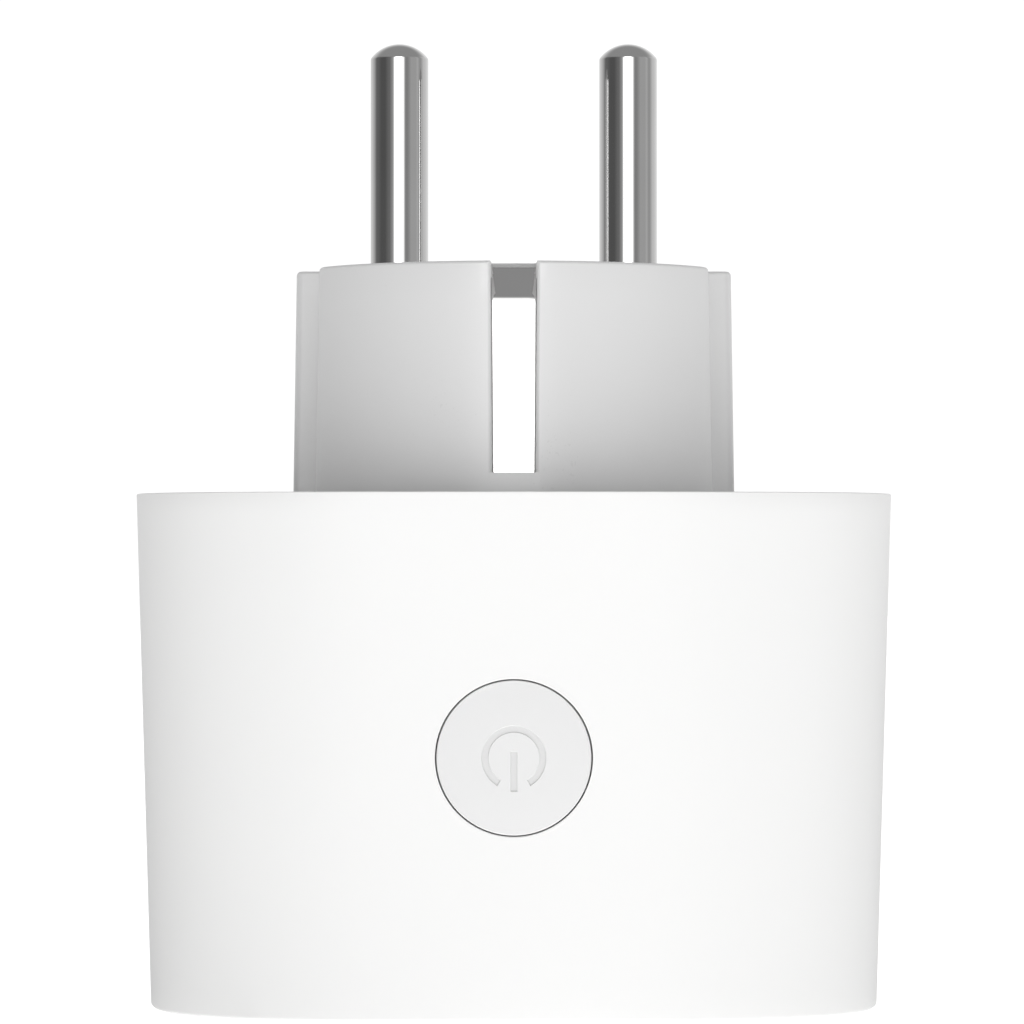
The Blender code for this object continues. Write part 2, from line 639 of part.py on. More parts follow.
def make_contact_carrier():
    """The insulator behind the recess, the two sprung contacts that grip the pins, and its screws."""
    low, high = CARRIER_Z
    block = box_mesh("contact_carrier", (-CARRIER_HALF[0], -CARRIER_HALF[1], low), (*CARRIER_HALF, high))
    carrier = part("contact_carrier", block, "inner_plastic")
    leaf = [(-0.0026, -0.0042), (-0.0024, -0.0005), (-0.0031, 0.0032), (-0.0022, 0.0042)]
    path = leaf + [(-x, y) for x, y in reversed(leaf)]
    outline = ribbon_outline(path, 0.0006)
    tail_low, tail_high = (-0.001, 0.00395, 0.0335), (0.001, 0.00445, 0.0393)
    for name, side in (("live_contact", -1), ("neutral_contact", 1)):
        place = (side * PIN_X, 0.0, 0.0)
        pocket_low = (-CARRIER_POCKET[0], -CARRIER_POCKET[1], low - GAP)
        pocket_high = (CARRIER_POCKET[0], CARRIER_POCKET[1], high + GAP)
        cut(carrier, cutter(f"{name}_pocket", box_mesh("contact_pocket", pocket_low, pocket_high), place))
        tab_x = (side * CARRIER_SCREW_X) - side * PIN_X
        near, far = sorted((tab_x - side * 0.003, tab_x + side * 0.0025))
        tab = box_mesh("carrier_tab", (near, -0.0026, 0.0233), (far, 0.0026, 0.0253))
        add(carrier, cutter(f"{name}_tab", tab, place))
        hole = rod_mesh("carrier_hole", 0.0012, 0.0228, 0.0258, 12)
        cut(carrier, cutter(f"{name}_screw_hole", hole, (side * CARRIER_SCREW_X, 0.0, 0.0)))
        contact = part(name, prism_mesh(name, outline, *CONTACT_Z), "copper_alloy", place)
        add(contact, cutter(f"{name}_tail", box_mesh("contact_tail", tail_low, tail_high), place))
    for i, side in enumerate((-1, 1)):
        make_screw(f"carrier_screw_{i + 1}", (side * CARRIER_SCREW_X, 0.0, 0.0256), 0.0019, 0.001, 0.0009, 0.0064)


def make_screw(name, at, head_radius, head_height, shank_radius, length):
    """A self-tapping screw with a cross recess; its place is the underside of the head."""
    profile = [
        (0.0, head_height),
        (head_radius * 0.8, head_height),
        (head_radius, head_height * 0.6),
        (head_radius, 0.0),
        (shank_radius, 0.0),
        (shank_radius, -length + shank_radius),
        (0.0, -length),
    ]
    screw = part(name, turned_mesh(name, profile, 20), "zinc_screw", at)
    arm = head_radius * 0.62
    slit = head_radius * 0.14
    depth = head_height * 0.45
    for turn in (0.0, 90.0):
        blade = box_mesh("driver_slot", (-arm, -slit, head_height - depth), (arm, slit, head_height * 1.5))
        cut(screw, cutter(f"{name}_slot_{turn:.0f}", blade, at, (0.0, 0.0, math.radians(turn))))
    round_shading(screw)


def make_cover_screws():
    head_z = BODY_HEIGHT - 0.0008
    for i, side in enumerate((-1, 1)):
        make_screw(f"cover_screw_{i + 1}", (side * COVER_SCREW_X, 0.0, head_z), 0.0021, 0.0007, 0.0011, 0.0085)


def make_main_board():
    """The power board under the cover, with the parts that hang from it into the casing."""
    outline = housing_outline(BOARD_Z[0], BOARD_INSET)
    board = part("main_board", prism_mesh("main_board", outline, *BOARD_Z), "board_green")
    low, high = BOARD_Z[0] - GAP, BOARD_Z[1] + GAP
    for side in (-1, 1):
        boss = rod_mesh("boss_relief", BOSS_RADIUS + GAP, low, high, 24)
        cut(board, cutter(f"boss_relief_{side}", boss, (side * COVER_SCREW_X, 0.0, 0.0)))
        tail = rod_mesh("pin_tail_hole", PIN_TAIL_RADIUS + GAP, low, high, 16)
        cut(board, cutter(f"pin_tail_hole_{side}", tail, (side * PIN_X, 0.0, 0.0)))
        slot = box_mesh("contact_tail_slot", (-0.0013, 0.0036, low), (0.0013, 0.0048, high))
        cut(board, cutter(f"contact_tail_slot_{side}", slot, (side * PIN_X, 0.0, 0.0)))
    top = BOARD_UNDERSIDE
    relay = part("relay", box_mesh("relay", (-0.003, 0.0086, 0.0224), (0.016, 0.02, top)), "relay_case")
    bevel(relay, 0.0005)
    core = part("transformer_core", box_mesh("core", (-0.0195, 0.0105, 0.0261), (-0.0065, 0.0165, top)), "ferrite")
    leg = 0.0021
    middle = (-0.013, 0.0, 0.0)
    window_z = (0.0283, 0.0349)
    for side in (-1, 1):
        near, far = sorted((side * leg, side * 0.0047))
        window = box_mesh("core_window", (near, 0.01, window_z[0]), (far, 0.017, window_z[1]))
        cut(core, cutter(f"core_window_{side}", window, middle))
    inset = window_z[0] + GAP, window_z[1] - GAP
    coil_mesh = rounded_box_mesh("transformer_coil", (0.0044, 0.0048), 0.0015, *inset, 3)
    coil = part("transformer_coil", coil_mesh, "winding_tape", (middle[0], 0.0135, 0.0))
    inner_low = (-leg - GAP, -0.003 - GAP, inset[0] - GAP)
    inner_high = (leg + GAP, 0.003 + GAP, inset[1] + GAP)
    cut(coil, cutter("coil_bore", box_mesh("coil_bore", inner_low, inner_high), (middle[0], 0.0135, 0.0)))
    for name, place, radius, bottom in (
        ("bulk_capacitor", (0.021, 0.0095, 0.0), 0.004, 0.0245),
        ("filter_capacitor", (-0.024, 0.0066, 0.0), 0.0031, 0.0265),
    ):
        can = part(name, rod_mesh(name, radius, bottom, top, 24), "capacitor_sleeve", place)
        bevel(can, 0.0004)
        round_shading(can)
    film = part("film_capacitor", box_mesh("film", (-0.022, -0.0155, 0.0262), (-0.009, -0.0095, top)), "film_box")
    bevel(film, 0.0005)
    facing = (math.radians(90.0), 0.0, 0.0)
    disc = rod_mesh("varistor", 0.0049, 0.0, 0.0038, 28)
    varistor = part("varistor", disc, "varistor_blue", (0.017, -0.0092, top - 0.0049), facing)
    bevel(varistor, 0.0008)
    round_shading(varistor)
    profile = [
        (0.0, top),
        (0.0004, top),
        (0.0004, 0.0362),
        (0.0014, 0.0358),
        (0.0018, 0.0352),
        (0.0018, 0.0288),
        (0.0014, 0.0282),
        (0.0, 0.028),
    ]
    resistor = part("fuse_resistor", turned_mesh("fuse_resistor", profile, 16), "resistor_body", (0.0235, -0.0082, 0.0))
    round_shading(resistor)
    chip = box_mesh("bridge_rectifier", (-0.006, -0.0128, 0.0346), (0.0, -0.0086, top))
    part("bridge_rectifier", chip, "black_epoxy")


def make_control_board():
    """The upright board behind the button, with its switch, light, radio and aerial."""
    y_front, y_back = CONTROL_BOARD_Y
    low_z = CUP_FLOOR_TOP + 0.0005
    high_z = BOARD_UNDERSIDE - GAP
    plate = box_mesh("control_board", (-0.013, y_front, low_z), (0.013, y_back, high_z))
    part("control_board", plate, "board_green")
    on_board = y_front - GAP
    switch_low = (-0.00225, -0.0195, SWITCH_Z - 0.00225)
    switch_high = (0.00225, on_board, SWITCH_Z + 0.00225)
    switch = part("tact_switch", box_mesh("tact_switch", switch_low, switch_high), "black_epoxy")
    bevel(switch, 0.0003)
    facing = (math.radians(90.0), 0.0, 0.0)
    bore = rod_mesh("switch_bore", 0.0015, 0.0185, 0.021, 20)
    cut(switch, cutter("switch_bore", bore, (0.0, 0.0, SWITCH_Z), facing))
    led = box_mesh("status_led", (0.0028, on_board - 0.0009, 0.0206), (0.0044, on_board, 0.0222))
    part("status_led", led, "led_lens")
    module = box_mesh("radio_module", (0.0046, on_board - 0.0009, 0.0282), (0.0124, on_board, 0.0364))
    part("radio_module", module, "board_green")
    can_y = on_board - 0.0009 - GAP
    can = box_mesh("radio_shield", (0.0052, can_y - 0.0016, 0.0288), (0.0118, can_y, 0.0348))
    shield = part("radio_shield", can, "shield_can")
    bevel(shield, 0.0003)
    aerial_y = on_board - GAP
    columns = 6
    points = []
    for i in range(columns):
        x = -0.012 + i * 0.0014
        ends = (0.0302, 0.0358) if i % 2 == 0 else (0.0358, 0.0302)
        points += [(x, aerial_y, z) for z in ends]
    antenna = part("antenna", wire_mesh("antenna", points, 0.00025), "copper_wire")
    round_shading(antenna)


def symbol_outline():
    """An open ring with its opening at the bottom."""
    start = -90.0 + SYMBOL_OPENING_DEG
    end = 270.0 - SYMBOL_OPENING_DEG
    outer = arc_points((0.0, 0.0), SYMBOL_RADII[1], start, end, 20)
    inner = arc_points((0.0, 0.0), SYMBOL_RADII[0], end, start, 20)
    return outer + inner


def make_button():
    """The round power button, the light pipe behind it and the switch plunger, which all travel together."""
    place = (0.0, BUTTON_FACE_Y, BUTTON_Z)
    slide = joint_empty("button_slide", place)
    facing = (math.radians(90.0), 0.0, 0.0)
    edge = 0.00015
    pocket_radius = 0.0035
    flange_radius = 0.0068
    flange = (-0.0017, -0.0024)
    profile = [
        (0.0, 0.0),
        (BUTTON_RADIUS - edge, 0.0),
        (BUTTON_RADIUS, -edge),
        (BUTTON_RADIUS, flange[0]),
        (flange_radius, flange[0]),
        (flange_radius, flange[1]),
        (pocket_radius, flange[1]),
        (pocket_radius, -0.0011),
        (0.0, -0.0011),
    ]
    cap = part("power_button", turned_mesh("power_button", profile, 48), "white_button", place, facing, slide)
    ring = prism_mesh("symbol_ring", symbol_outline(), -SYMBOL_DEPTH, SYMBOL_DEPTH, "XZ")
    cut(cap, cutter("symbol_ring", ring, place))
    bar_low = (-SYMBOL_BAR_HALF, -SYMBOL_DEPTH, SYMBOL_BAR_Z[0])
    bar_high = (SYMBOL_BAR_HALF, SYMBOL_DEPTH, SYMBOL_BAR_Z[1])
    cut(cap, cutter("symbol_bar", box_mesh("symbol_bar", bar_low, bar_high), place))
    round_shading(cap)
    disc = rod_mesh("light_guide", 0.0032, -0.0022, -0.0014, 28)
    pipe = part("light_guide", disc, "light_pipe", place, facing, slide)
    stem_place = (0.0, BUTTON_FACE_Y, SWITCH_Z - 0.0006)
    stem = rod_mesh("light_stem", 0.0012, -0.0033, -0.0018, 16)
    add(pipe, cutter("light_stem", stem, stem_place, facing))
    round_shading(pipe)
    knob_place = (0.0, -0.0204, SWITCH_Z)
    knob = rod_mesh("switch_plunger", 0.0012, -0.0012, 0.0, 16)
    plunger = part("switch_plunger", knob, "black_epoxy", knob_place, facing, slide)
    round_shading(plunger)
    guide_y = (0.0217, 0.0224)
    profile = [(0.0086, guide_y[1]), (0.0086, guide_y[0]), (0.0071, guide_y[0]), (0.0071, guide_y[1])]
    frame_mesh = turned_mesh("button_guide", profile, 40, closed=True)
    guide = part("button_guide", frame_mesh, "inner_plastic", (0.0, 0.0, BUTTON_Z), facing)
    round_shading(guide)


clear_scene()
parts = new_collection("smart_plug")
cutters = new_collection("cutters")
assembly = joint_empty("smart_plug", (0.0, 0.0, 0.0))
make_body_shell()
make_plug_cover()
make_pins()
make_plug_earth()
make_socket_cup()
make_socket_earth()
make_shutter()
make_contact_carrier()
make_cover_screws()
make_main_board()
make_control_board()
make_button()
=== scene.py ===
# Looks for the smart plug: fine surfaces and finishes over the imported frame, in metres.
import math

import bmesh
import bpy
from mathutils import Matrix, Vector


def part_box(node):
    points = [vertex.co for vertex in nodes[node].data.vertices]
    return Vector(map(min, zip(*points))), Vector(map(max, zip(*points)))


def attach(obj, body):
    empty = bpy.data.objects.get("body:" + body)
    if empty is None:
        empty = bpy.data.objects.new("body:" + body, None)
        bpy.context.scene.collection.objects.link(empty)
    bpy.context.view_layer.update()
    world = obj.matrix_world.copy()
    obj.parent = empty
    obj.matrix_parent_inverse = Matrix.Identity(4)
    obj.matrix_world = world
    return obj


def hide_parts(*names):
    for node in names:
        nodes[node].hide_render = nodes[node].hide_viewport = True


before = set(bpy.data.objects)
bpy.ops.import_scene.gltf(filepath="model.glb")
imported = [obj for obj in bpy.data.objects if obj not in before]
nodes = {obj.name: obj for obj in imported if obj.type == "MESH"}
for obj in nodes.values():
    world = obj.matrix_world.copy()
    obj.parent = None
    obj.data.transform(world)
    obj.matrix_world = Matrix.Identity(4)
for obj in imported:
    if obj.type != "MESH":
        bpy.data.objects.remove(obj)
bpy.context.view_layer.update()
print("frame loaded:", len(nodes), "nodes")

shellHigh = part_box("body_shell")[1]
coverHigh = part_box("plug_cover")[1]
pinLow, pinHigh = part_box("neutral_pin")
buttonLow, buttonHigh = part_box("power_button")
faceMinusY = Matrix.Rotation(math.radians(90), 4, "X")
quarters = ((1, 1), (-1, 1), (-1, -1), (1, -1))
weld = 1e-6
cutPast = 0.001  # how far a cutter runs past the face that it opens


def wire(tree, kind, inputs=None, **settings):
    # adds one node; each input is a plain value or another node's output
    node = tree.nodes.new(kind)
    for key, value in settings.items():
        setattr(node, key, value)
    for key, value in (inputs or {}).items():
        socket = node.inputs[key]
        if isinstance(value, bpy.types.NodeSocket):
            tree.links.new(value, socket)
        else:
            socket.default_value = value
    return node


def maths(tree, operation, a, b=0.0):
    return wire(tree, "ShaderNodeMath", {0: a, 1: b}, operation=operation).outputs[0]


def ranged(tree, value, low, high, toLow=0.0, toHigh=1.0, kind="LINEAR"):
    return wire(tree, "ShaderNodeMapRange", {
        "Value": value, "From Min": low, "From Max": high, "To Min": toLow, "To Max": toHigh,
    }, interpolation_type=kind).outputs[0]


def noise(tree, place, scale, detail):
    return wire(tree, "ShaderNodeTexNoise", {"Vector": place, "Scale": scale, "Detail": detail}).outputs[0]


def tinted(tree, mask, deep, pale):
    # a colour between two, by a mask
    mix = wire(tree, "ShaderNodeMix", {"Factor": mask}, data_type="RGBA")
    for label, colour in (("A", deep), ("B", pale)):
        if isinstance(colour, bpy.types.NodeSocket):
            tree.links.new(colour, mix.inputs[label])
        else:
            mix.inputs[label].default_value = (*colour, 1.0)
    return mix.outputs["Result"]


def objectPlace(tree):
    return tree.nodes.new("ShaderNodeTexCoord").outputs["Object"]


def closeGroup(tree, results):
    result = tree.nodes.new("NodeGroupOutput")
    for label, source in results.items():
        tree.links.new(source, result.inputs[label])


def socketFor(tree, label, kind, way="INPUT", value=None):
    made = tree.interface.new_socket(name=label, in_out=way, socket_type=kind)
    if value is not None:
        made.default_value = value
    return made


def newObject(name, mesh):
    made = bpy.data.objects.new(name, mesh)
    bpy.context.scene.collection.objects.link(made)
    return made


def meshFrom(bm, name):
    bmesh.ops.recalc_face_normals(bm, faces=bm.faces)
    mesh = bpy.data.meshes.new(name)
    bm.to_mesh(mesh)
    bm.free()
    return mesh


def bake(piece):
    # the evaluated shape becomes the piece's own plain mesh
    bpy.context.view_layer.update()
    evaluated = piece.evaluated_get(bpy.context.evaluated_depsgraph_get())
    mesh = bpy.data.meshes.new_from_object(evaluated)
    piece.modifiers.clear()
    piece.data = mesh
    return piece


def runTree(name, base, tree, values):
    # runs a Geometry Nodes tree on a mesh and keeps the plain result
    piece = newObject(name, base)
    modifier = piece.modifiers.new(tree.name, "NODES")
    modifier.node_group = tree
    for item in tree.interface.items_tree:
        if item.item_type == "SOCKET" and item.in_out == "INPUT" and item.name in values:
            modifier[item.identifier] = values[item.name]
    return bake(piece)


def polyline(name, points, closed=False):
    mesh = bpy.data.meshes.new(name)
    edges = [(i, i + 1) for i in range(len(points) - 1)]
    if closed:
        edges.append((len(points) - 1, 0))
    mesh.from_pydata(points, edges, [])
    return mesh


def arc(centre, radius, startDeg, endDeg, steps):
    turn = math.radians(endDeg - startDeg)
    start = math.radians(startDeg)
    spots = [start + turn * i / steps for i in range(steps + 1)]
    return [(centre[0] + radius * math.cos(a), centre[1] + radius * math.sin(a)) for a in spots]


def carve(piece, tools, operation="DIFFERENCE"):
    # cuts or joins closed tools, then drops them; worked a thousand times larger, where the solver is surer
    for tool in [piece, *tools]:
        tool.data.transform(Matrix.Scale(1000.0, 4))
    for tool in tools:
        step = piece.modifiers.new(tool.name, "BOOLEAN")
        step.operation = operation
        step.solver = "EXACT"
        step.object = tool
    bake(piece)
    piece.data.transform(Matrix.Scale(0.001, 4))
    for tool in tools:
        bpy.data.objects.remove(tool, do_unlink=True)
    return piece


def smooth(piece, angle=35):
    piece.data.shade_smooth()
    piece.data.set_sharp_from_angle(angle=math.radians(angle))


def dress(piece, material, body, replaced):
    piece.data.materials.clear()
    piece.data.materials.append(material)
    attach(piece, body)
    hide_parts(*replaced)


def boxTool(name, low, high):
    bm = bmesh.new()
    bmesh.ops.create_cube(bm, size=1.0)
    middle = (Vector(low) + Vector(high)) / 2
    size = Vector(high) - Vector(low)
    bmesh.ops.scale(bm, vec=size, verts=bm.verts)
    bmesh.ops.translate(bm, vec=middle, verts=bm.verts)
    return newObject(name, meshFrom(bm, name))


def sideBox(name, side, half, reach, low, high):
    # a box across the middle line, between two distances on the front (-1) or rear (1) side
    near, far = sorted((side * reach[0], side * reach[1]))
    return boxTool(f"{name}{side}", (-half, near, low), (half, far, high))


def loft(name, rings):
    # skins a stack of rings with the same number of points, closed at both ends
    bm = bmesh.new()
    rows = [[bm.verts.new(p) for p in ring] for ring in rings]
    for a, b in zip(rows, rows[1:]):
        for i in range(len(a)):
            j = (i + 1) % len(a)
            bm.faces.new((a[i], a[j], b[j], b[i]))
    bm.faces.new(rows[0][::-1])
    bm.faces.new(rows[-1])
    return newObject(name, meshFrom(bm, name))


def roundCorners(points, reach, steps=4):
    # swaps each sharp corner of a closed outline for a short curve
    made = []
    count = len(points)
    for i, (spot, soft) in enumerate(points):
        here = Vector(spot)
        if not soft:
            made.append(here)
            continue
        before = Vector(points[i - 1][0]) - here
        after = Vector(points[(i + 1) % count][0]) - here
        a = here + before.normalized() * min(reach, before.length * 0.45)
        b = here + after.normalized() * min(reach, after.length * 0.45)
        for k in range(steps + 1):
            t = k / steps
            made.append(a * (1 - t) ** 2 + here * 2 * t * (1 - t) + b * t ** 2)
    return made


def offsetOutline(outline, inset):
    # moves every point of an anticlockwise outline inwards
    moved = []
    count = len(outline)
    for i, here in enumerate(outline):
        a = (here - outline[i - 1]).normalized()
        b = (outline[(i + 1) % count] - here).normalized()
        normal = Vector((-(a.y + b.y), a.x + b.x)).normalized()
        spread = max(normal.dot(Vector((-a.y, a.x))), 0.6)
        moved.append(here + normal * inset / spread)
    return moved


def profileGrid(tree, given, sides, closed):
    # a grid with a row for each profile point; gives its mesh, that point's parts and the turn round Z
    size = wire(tree, "GeometryNodeAttributeDomainSize", {"Geometry": given["Profile"]}, component="MESH")
    rows = size.outputs["Point Count"]
    columns = maths(tree, "ADD", sides, 1.0)
    gridRows = maths(tree, "ADD", rows, 1.0 if closed else 0.0)
    grid = wire(tree, "GeometryNodeMeshGrid", {
        "Size X": 1.0, "Size Y": 1.0, "Vertices X": gridRows, "Vertices Y": columns,
    })
    index = tree.nodes.new("GeometryNodeInputIndex").outputs[0]
    row = maths(tree, "FLOOR", maths(tree, "DIVIDE", maths(tree, "ADD", index, 0.25), columns))
    column = maths(tree, "SUBTRACT", index, maths(tree, "MULTIPLY", row, columns))
    spot = tree.nodes.new("GeometryNodeInputPosition").outputs[0]
    station = wire(tree, "GeometryNodeSampleIndex", {
        "Geometry": given["Profile"], "Index": maths(tree, "MODULO", row, rows) if closed else row,
    }, data_type="FLOAT_VECTOR", domain="POINT")
    tree.links.new(spot, station.inputs["Value"])
    parted = wire(tree, "ShaderNodeSeparateXYZ", {0: station.outputs["Value"]}).outputs
    turn = maths(tree, "MULTIPLY", maths(tree, "DIVIDE", column, sides), 2 * math.pi)
    return grid.outputs["Mesh"], parted, turn


def placed(tree, mesh, x, y, z):
    place = wire(tree, "ShaderNodeCombineXYZ", {0: x, 1: y, 2: z}).outputs[0]
    return wire(tree, "GeometryNodeSetPosition", {"Geometry": mesh, "Position": place}).outputs[0]


def casingTree():
    # lofts a wall profile (inset, circle share, height) round a drafted, softly squared outline
    tree = bpy.data.node_groups.new("draftedCasing", "GeometryNodeTree")
    socketFor(tree, "Profile", "NodeSocketGeometry")
    socketFor(tree, "Sides", "NodeSocketInt", value=192)
    for label, value in (
        ("Height", 0.04), ("Half Width Foot", 0.03), ("Half Width Top", 0.03), ("Half Depth Foot", 0.02),
        ("Half Depth Top", 0.02), ("Squareness", 2.8), ("Hole Radius", 0.02),
    ):
        socketFor(tree, label, "NodeSocketFloat", value=value)
    socketFor(tree, "Finish", "NodeSocketMaterial")
    socketFor(tree, "Casing", "NodeSocketGeometry", "OUTPUT")
    given = tree.nodes.new("NodeGroupInput").outputs
    mesh, (inset, roundShare, height), turn = profileGrid(tree, given, given["Sides"], closed=True)
    cosine, sine = maths(tree, "COSINE", turn), maths(tree, "SINE", turn)
    share = maths(tree, "DIVIDE", height, given["Height"])

    def drafted(foot, top):
        grown = maths(tree, "MULTIPLY", maths(tree, "SUBTRACT", top, foot), share)
        return maths(tree, "SUBTRACT", maths(tree, "ADD", foot, grown), inset)

    def term(direction, half):
        ratio = maths(tree, "ABSOLUTE", maths(tree, "DIVIDE", direction, half))
        return maths(tree, "POWER", ratio, given["Squareness"])

    halfX = drafted(given["Half Width Foot"], given["Half Width Top"])
    halfY = drafted(given["Half Depth Foot"], given["Half Depth Top"])
    total = maths(tree, "ADD", term(cosine, halfX), term(sine, halfY))
    reach = maths(tree, "POWER", total, maths(tree, "DIVIDE", -1.0, given["Squareness"]))
    gap = maths(tree, "SUBTRACT", given["Hole Radius"], reach)
    radius = maths(tree, "ADD", reach, maths(tree, "MULTIPLY", gap, roundShare))
    x, y = maths(tree, "MULTIPLY", radius, cosine), maths(tree, "MULTIPLY", radius, sine)
    closeTree(tree, placed(tree, mesh, x, y, height), given["Finish"])
    return tree


def turningTree():
    # turns a profile (radius, height) about Z and sets a row of copies along X
    tree = bpy.data.node_groups.new("turnedPieces", "GeometryNodeTree")
    socketFor(tree, "Profile", "NodeSocketGeometry")
    socketFor(tree, "Segments", "NodeSocketInt", value=64)
    socketFor(tree, "Copies", "NodeSocketInt", value=1)
    socketFor(tree, "Spacing", "NodeSocketFloat", value=0.0)
    socketFor(tree, "Finish", "NodeSocketMaterial")
    socketFor(tree, "Pieces", "NodeSocketGeometry", "OUTPUT")
    given = tree.nodes.new("NodeGroupInput").outputs
    mesh, parted, turn = profileGrid(tree, given, given["Segments"], closed=False)
    x = maths(tree, "MULTIPLY", parted[0], maths(tree, "COSINE", turn))
    y = maths(tree, "MULTIPLY", parted[0], maths(tree, "SINE", turn))
    shaped = placed(tree, mesh, x, y, parted[2])
    welded = wire(tree, "GeometryNodeMergeByDistance", {"Geometry": shaped, "Distance": weld})
    half = maths(tree, "MULTIPLY", maths(tree, "SUBTRACT", given["Copies"], 1.0), 0.5)
    back = maths(tree, "MULTIPLY", half, maths(tree, "MULTIPLY", given["Spacing"], -1.0))
    start = wire(tree, "ShaderNodeCombineXYZ", {0: back})
    step = wire(tree, "ShaderNodeCombineXYZ", {0: given["Spacing"]})
    line = wire(tree, "GeometryNodeMeshLine", {
        "Count": given["Copies"], "Start Location": start.outputs[0], "Offset": step.outputs[0],
    }, mode="OFFSET")
    copies = wire(tree, "GeometryNodeInstanceOnPoints", {"Points": line.outputs[0], "Instance": welded.outputs[0]})
    closeTree(tree, copies.outputs[0], given["Finish"])
    return tree


def closeTree(tree, geometry, finish):
    real = wire(tree, "GeometryNodeRealizeInstances", {"Geometry": geometry})
    welded = wire(tree, "GeometryNodeMergeByDistance", {"Geometry": real.outputs[0], "Distance": weld})
    coated = wire(tree, "GeometryNodeSetMaterial", {"Geometry": welded.outputs[0], "Material": finish})
    result = tree.nodes.new("NodeGroupOutput")
    tree.links.new(coated.outputs[0], result.inputs[0])


def outwards(piece):
    bm = bmesh.new()
    bm.from_mesh(piece.data)
    bmesh.ops.recalc_face_normals(bm, faces=bm.faces)
    bm.to_mesh(piece.data)
    bm.free()
    return piece


def turned(name, profile, segments=96, copies=1, spacing=0.0, finish=None):
    base = polyline(name, [(r, 0.0, z) for r, z in profile])
    values = {"Segments": segments, "Copies": copies, "Spacing": spacing, "Finish": finish}
    return outwards(runTree(name, base, turningPieces, values))


def grainGroup():
    # fine moulded texture: a broad tone drift, a roughness that follows it and a small height
    tree = bpy.data.node_groups.new("mouldedGrain", "ShaderNodeTree")
    for label, value in (("Grain Size", 3000.0), ("Drift Size", 60.0), ("Rough Low", 0.35), ("Rough High", 0.45)):
        socketFor(tree, label, "NodeSocketFloat", value=value)
    for label in ("Tone", "Roughness", "Height"):
        socketFor(tree, label, "NodeSocketFloat", "OUTPUT")
    given = tree.nodes.new("NodeGroupInput").outputs
    place = objectPlace(tree)
    drift = noise(tree, place, given["Drift Size"], 3.0)
    grain = noise(tree, place, given["Grain Size"], 2.0)
    mixed = maths(tree, "ADD", maths(tree, "MULTIPLY", drift, 0.6), maths(tree, "MULTIPLY", grain, 0.4))
    rough = ranged(tree, mixed, 0.3, 0.7, given["Rough Low"], given["Rough High"])
    closeGroup(tree, {"Tone": drift, "Roughness": rough, "Height": grain})
    return tree


def scratchGroup():
    # handling marks on plated or stamped metal: long faint lines and a cloudy tarnish
    tree = bpy.data.node_groups.new("handlingMarks", "ShaderNodeTree")
    socketFor(tree, "Stretch", "NodeSocketVector", value=(900.0, 900.0, 40.0))
    for label, value in (("Cloud Size", 180.0), ("Rough Low", 0.08), ("Rough High", 0.2)):
        socketFor(tree, label, "NodeSocketFloat", value=value)
    for label in ("Tarnish", "Roughness", "Height"):
        socketFor(tree, label, "NodeSocketFloat", "OUTPUT")
    given = tree.nodes.new("NodeGroupInput").outputs
    place = objectPlace(tree)
    drawn = wire(tree, "ShaderNodeVectorMath", {0: place, 1: given["Stretch"]}, operation="MULTIPLY").outputs[0]
    lines = noise(tree, drawn, 4.0, 4.0)
    cloud = noise(tree, place, given["Cloud Size"], 3.0)
    mixed = maths(tree, "ADD", maths(tree, "MULTIPLY", lines, 0.65), maths(tree, "MULTIPLY", cloud, 0.35))
    rough = ranged(tree, mixed, 0.35, 0.65, given["Rough Low"], given["Rough High"])
    closeGroup(tree, {"Tarnish": cloud, "Roughness": rough, "Height": lines})
    return tree


grainSizes = dict(drift=55.0, plasticDepth=0.00002, metalDepth=0.000008)


def startMaterial(name):
    material = bpy.data.materials.new(name)
    material.use_nodes = True
    return material, material.node_tree, material.node_tree.nodes["Principled BSDF"]


def finishShader(tree, shader, tone, pale, deep, rough, height, bumpDepth, bumpStrength):
    # one tone mask drives the colour, and the group's roughness and height drive the rest
    tree.links.new(tinted(tree, tone, deep, pale), shader.inputs["Base Color"])
    tree.links.new(rough, shader.inputs["Roughness"])
    bump = wire(tree, "ShaderNodeBump", {"Height": height, "Distance": bumpDepth, "Strength": bumpStrength})
    tree.links.new(bump.outputs[0], shader.inputs["Normal"])


def plastic(name, pale, deep, rough, grain=3200.0, bump=0.25, coat=0.0):
    material, tree, shader = startMaterial(name)
    group = wire(tree, "ShaderNodeGroup", node_tree=mouldedGrain)
    group.inputs["Grain Size"].default_value = grain
    group.inputs["Drift Size"].default_value = grainSizes["drift"]
    group.inputs["Rough Low"].default_value, group.inputs["Rough High"].default_value = rough
    out = group.outputs
    depth = grainSizes["plasticDepth"]
    finishShader(tree, shader, out["Tone"], pale, deep, out["Roughness"], out["Height"], depth, bump)
    shader.inputs["Coat Weight"].default_value = coat
    return material


def metal(name, pale, deep, rough, stretch=(900.0, 900.0, 40.0), bump=0.1):
    material, tree, shader = startMaterial(name)
    shader.inputs["Metallic"].default_value = 1.0
    group = wire(tree, "ShaderNodeGroup", node_tree=handlingMarks)
    group.inputs["Stretch"].default_value = stretch
    group.inputs["Rough Low"].default_value, group.inputs["Rough High"].default_value = rough
    out = group.outputs
    depth = grainSizes["metalDepth"]
    finishShader(tree, shader, out["Tarnish"], pale, deep, out["Roughness"], out["Height"], depth, bump)
    return material


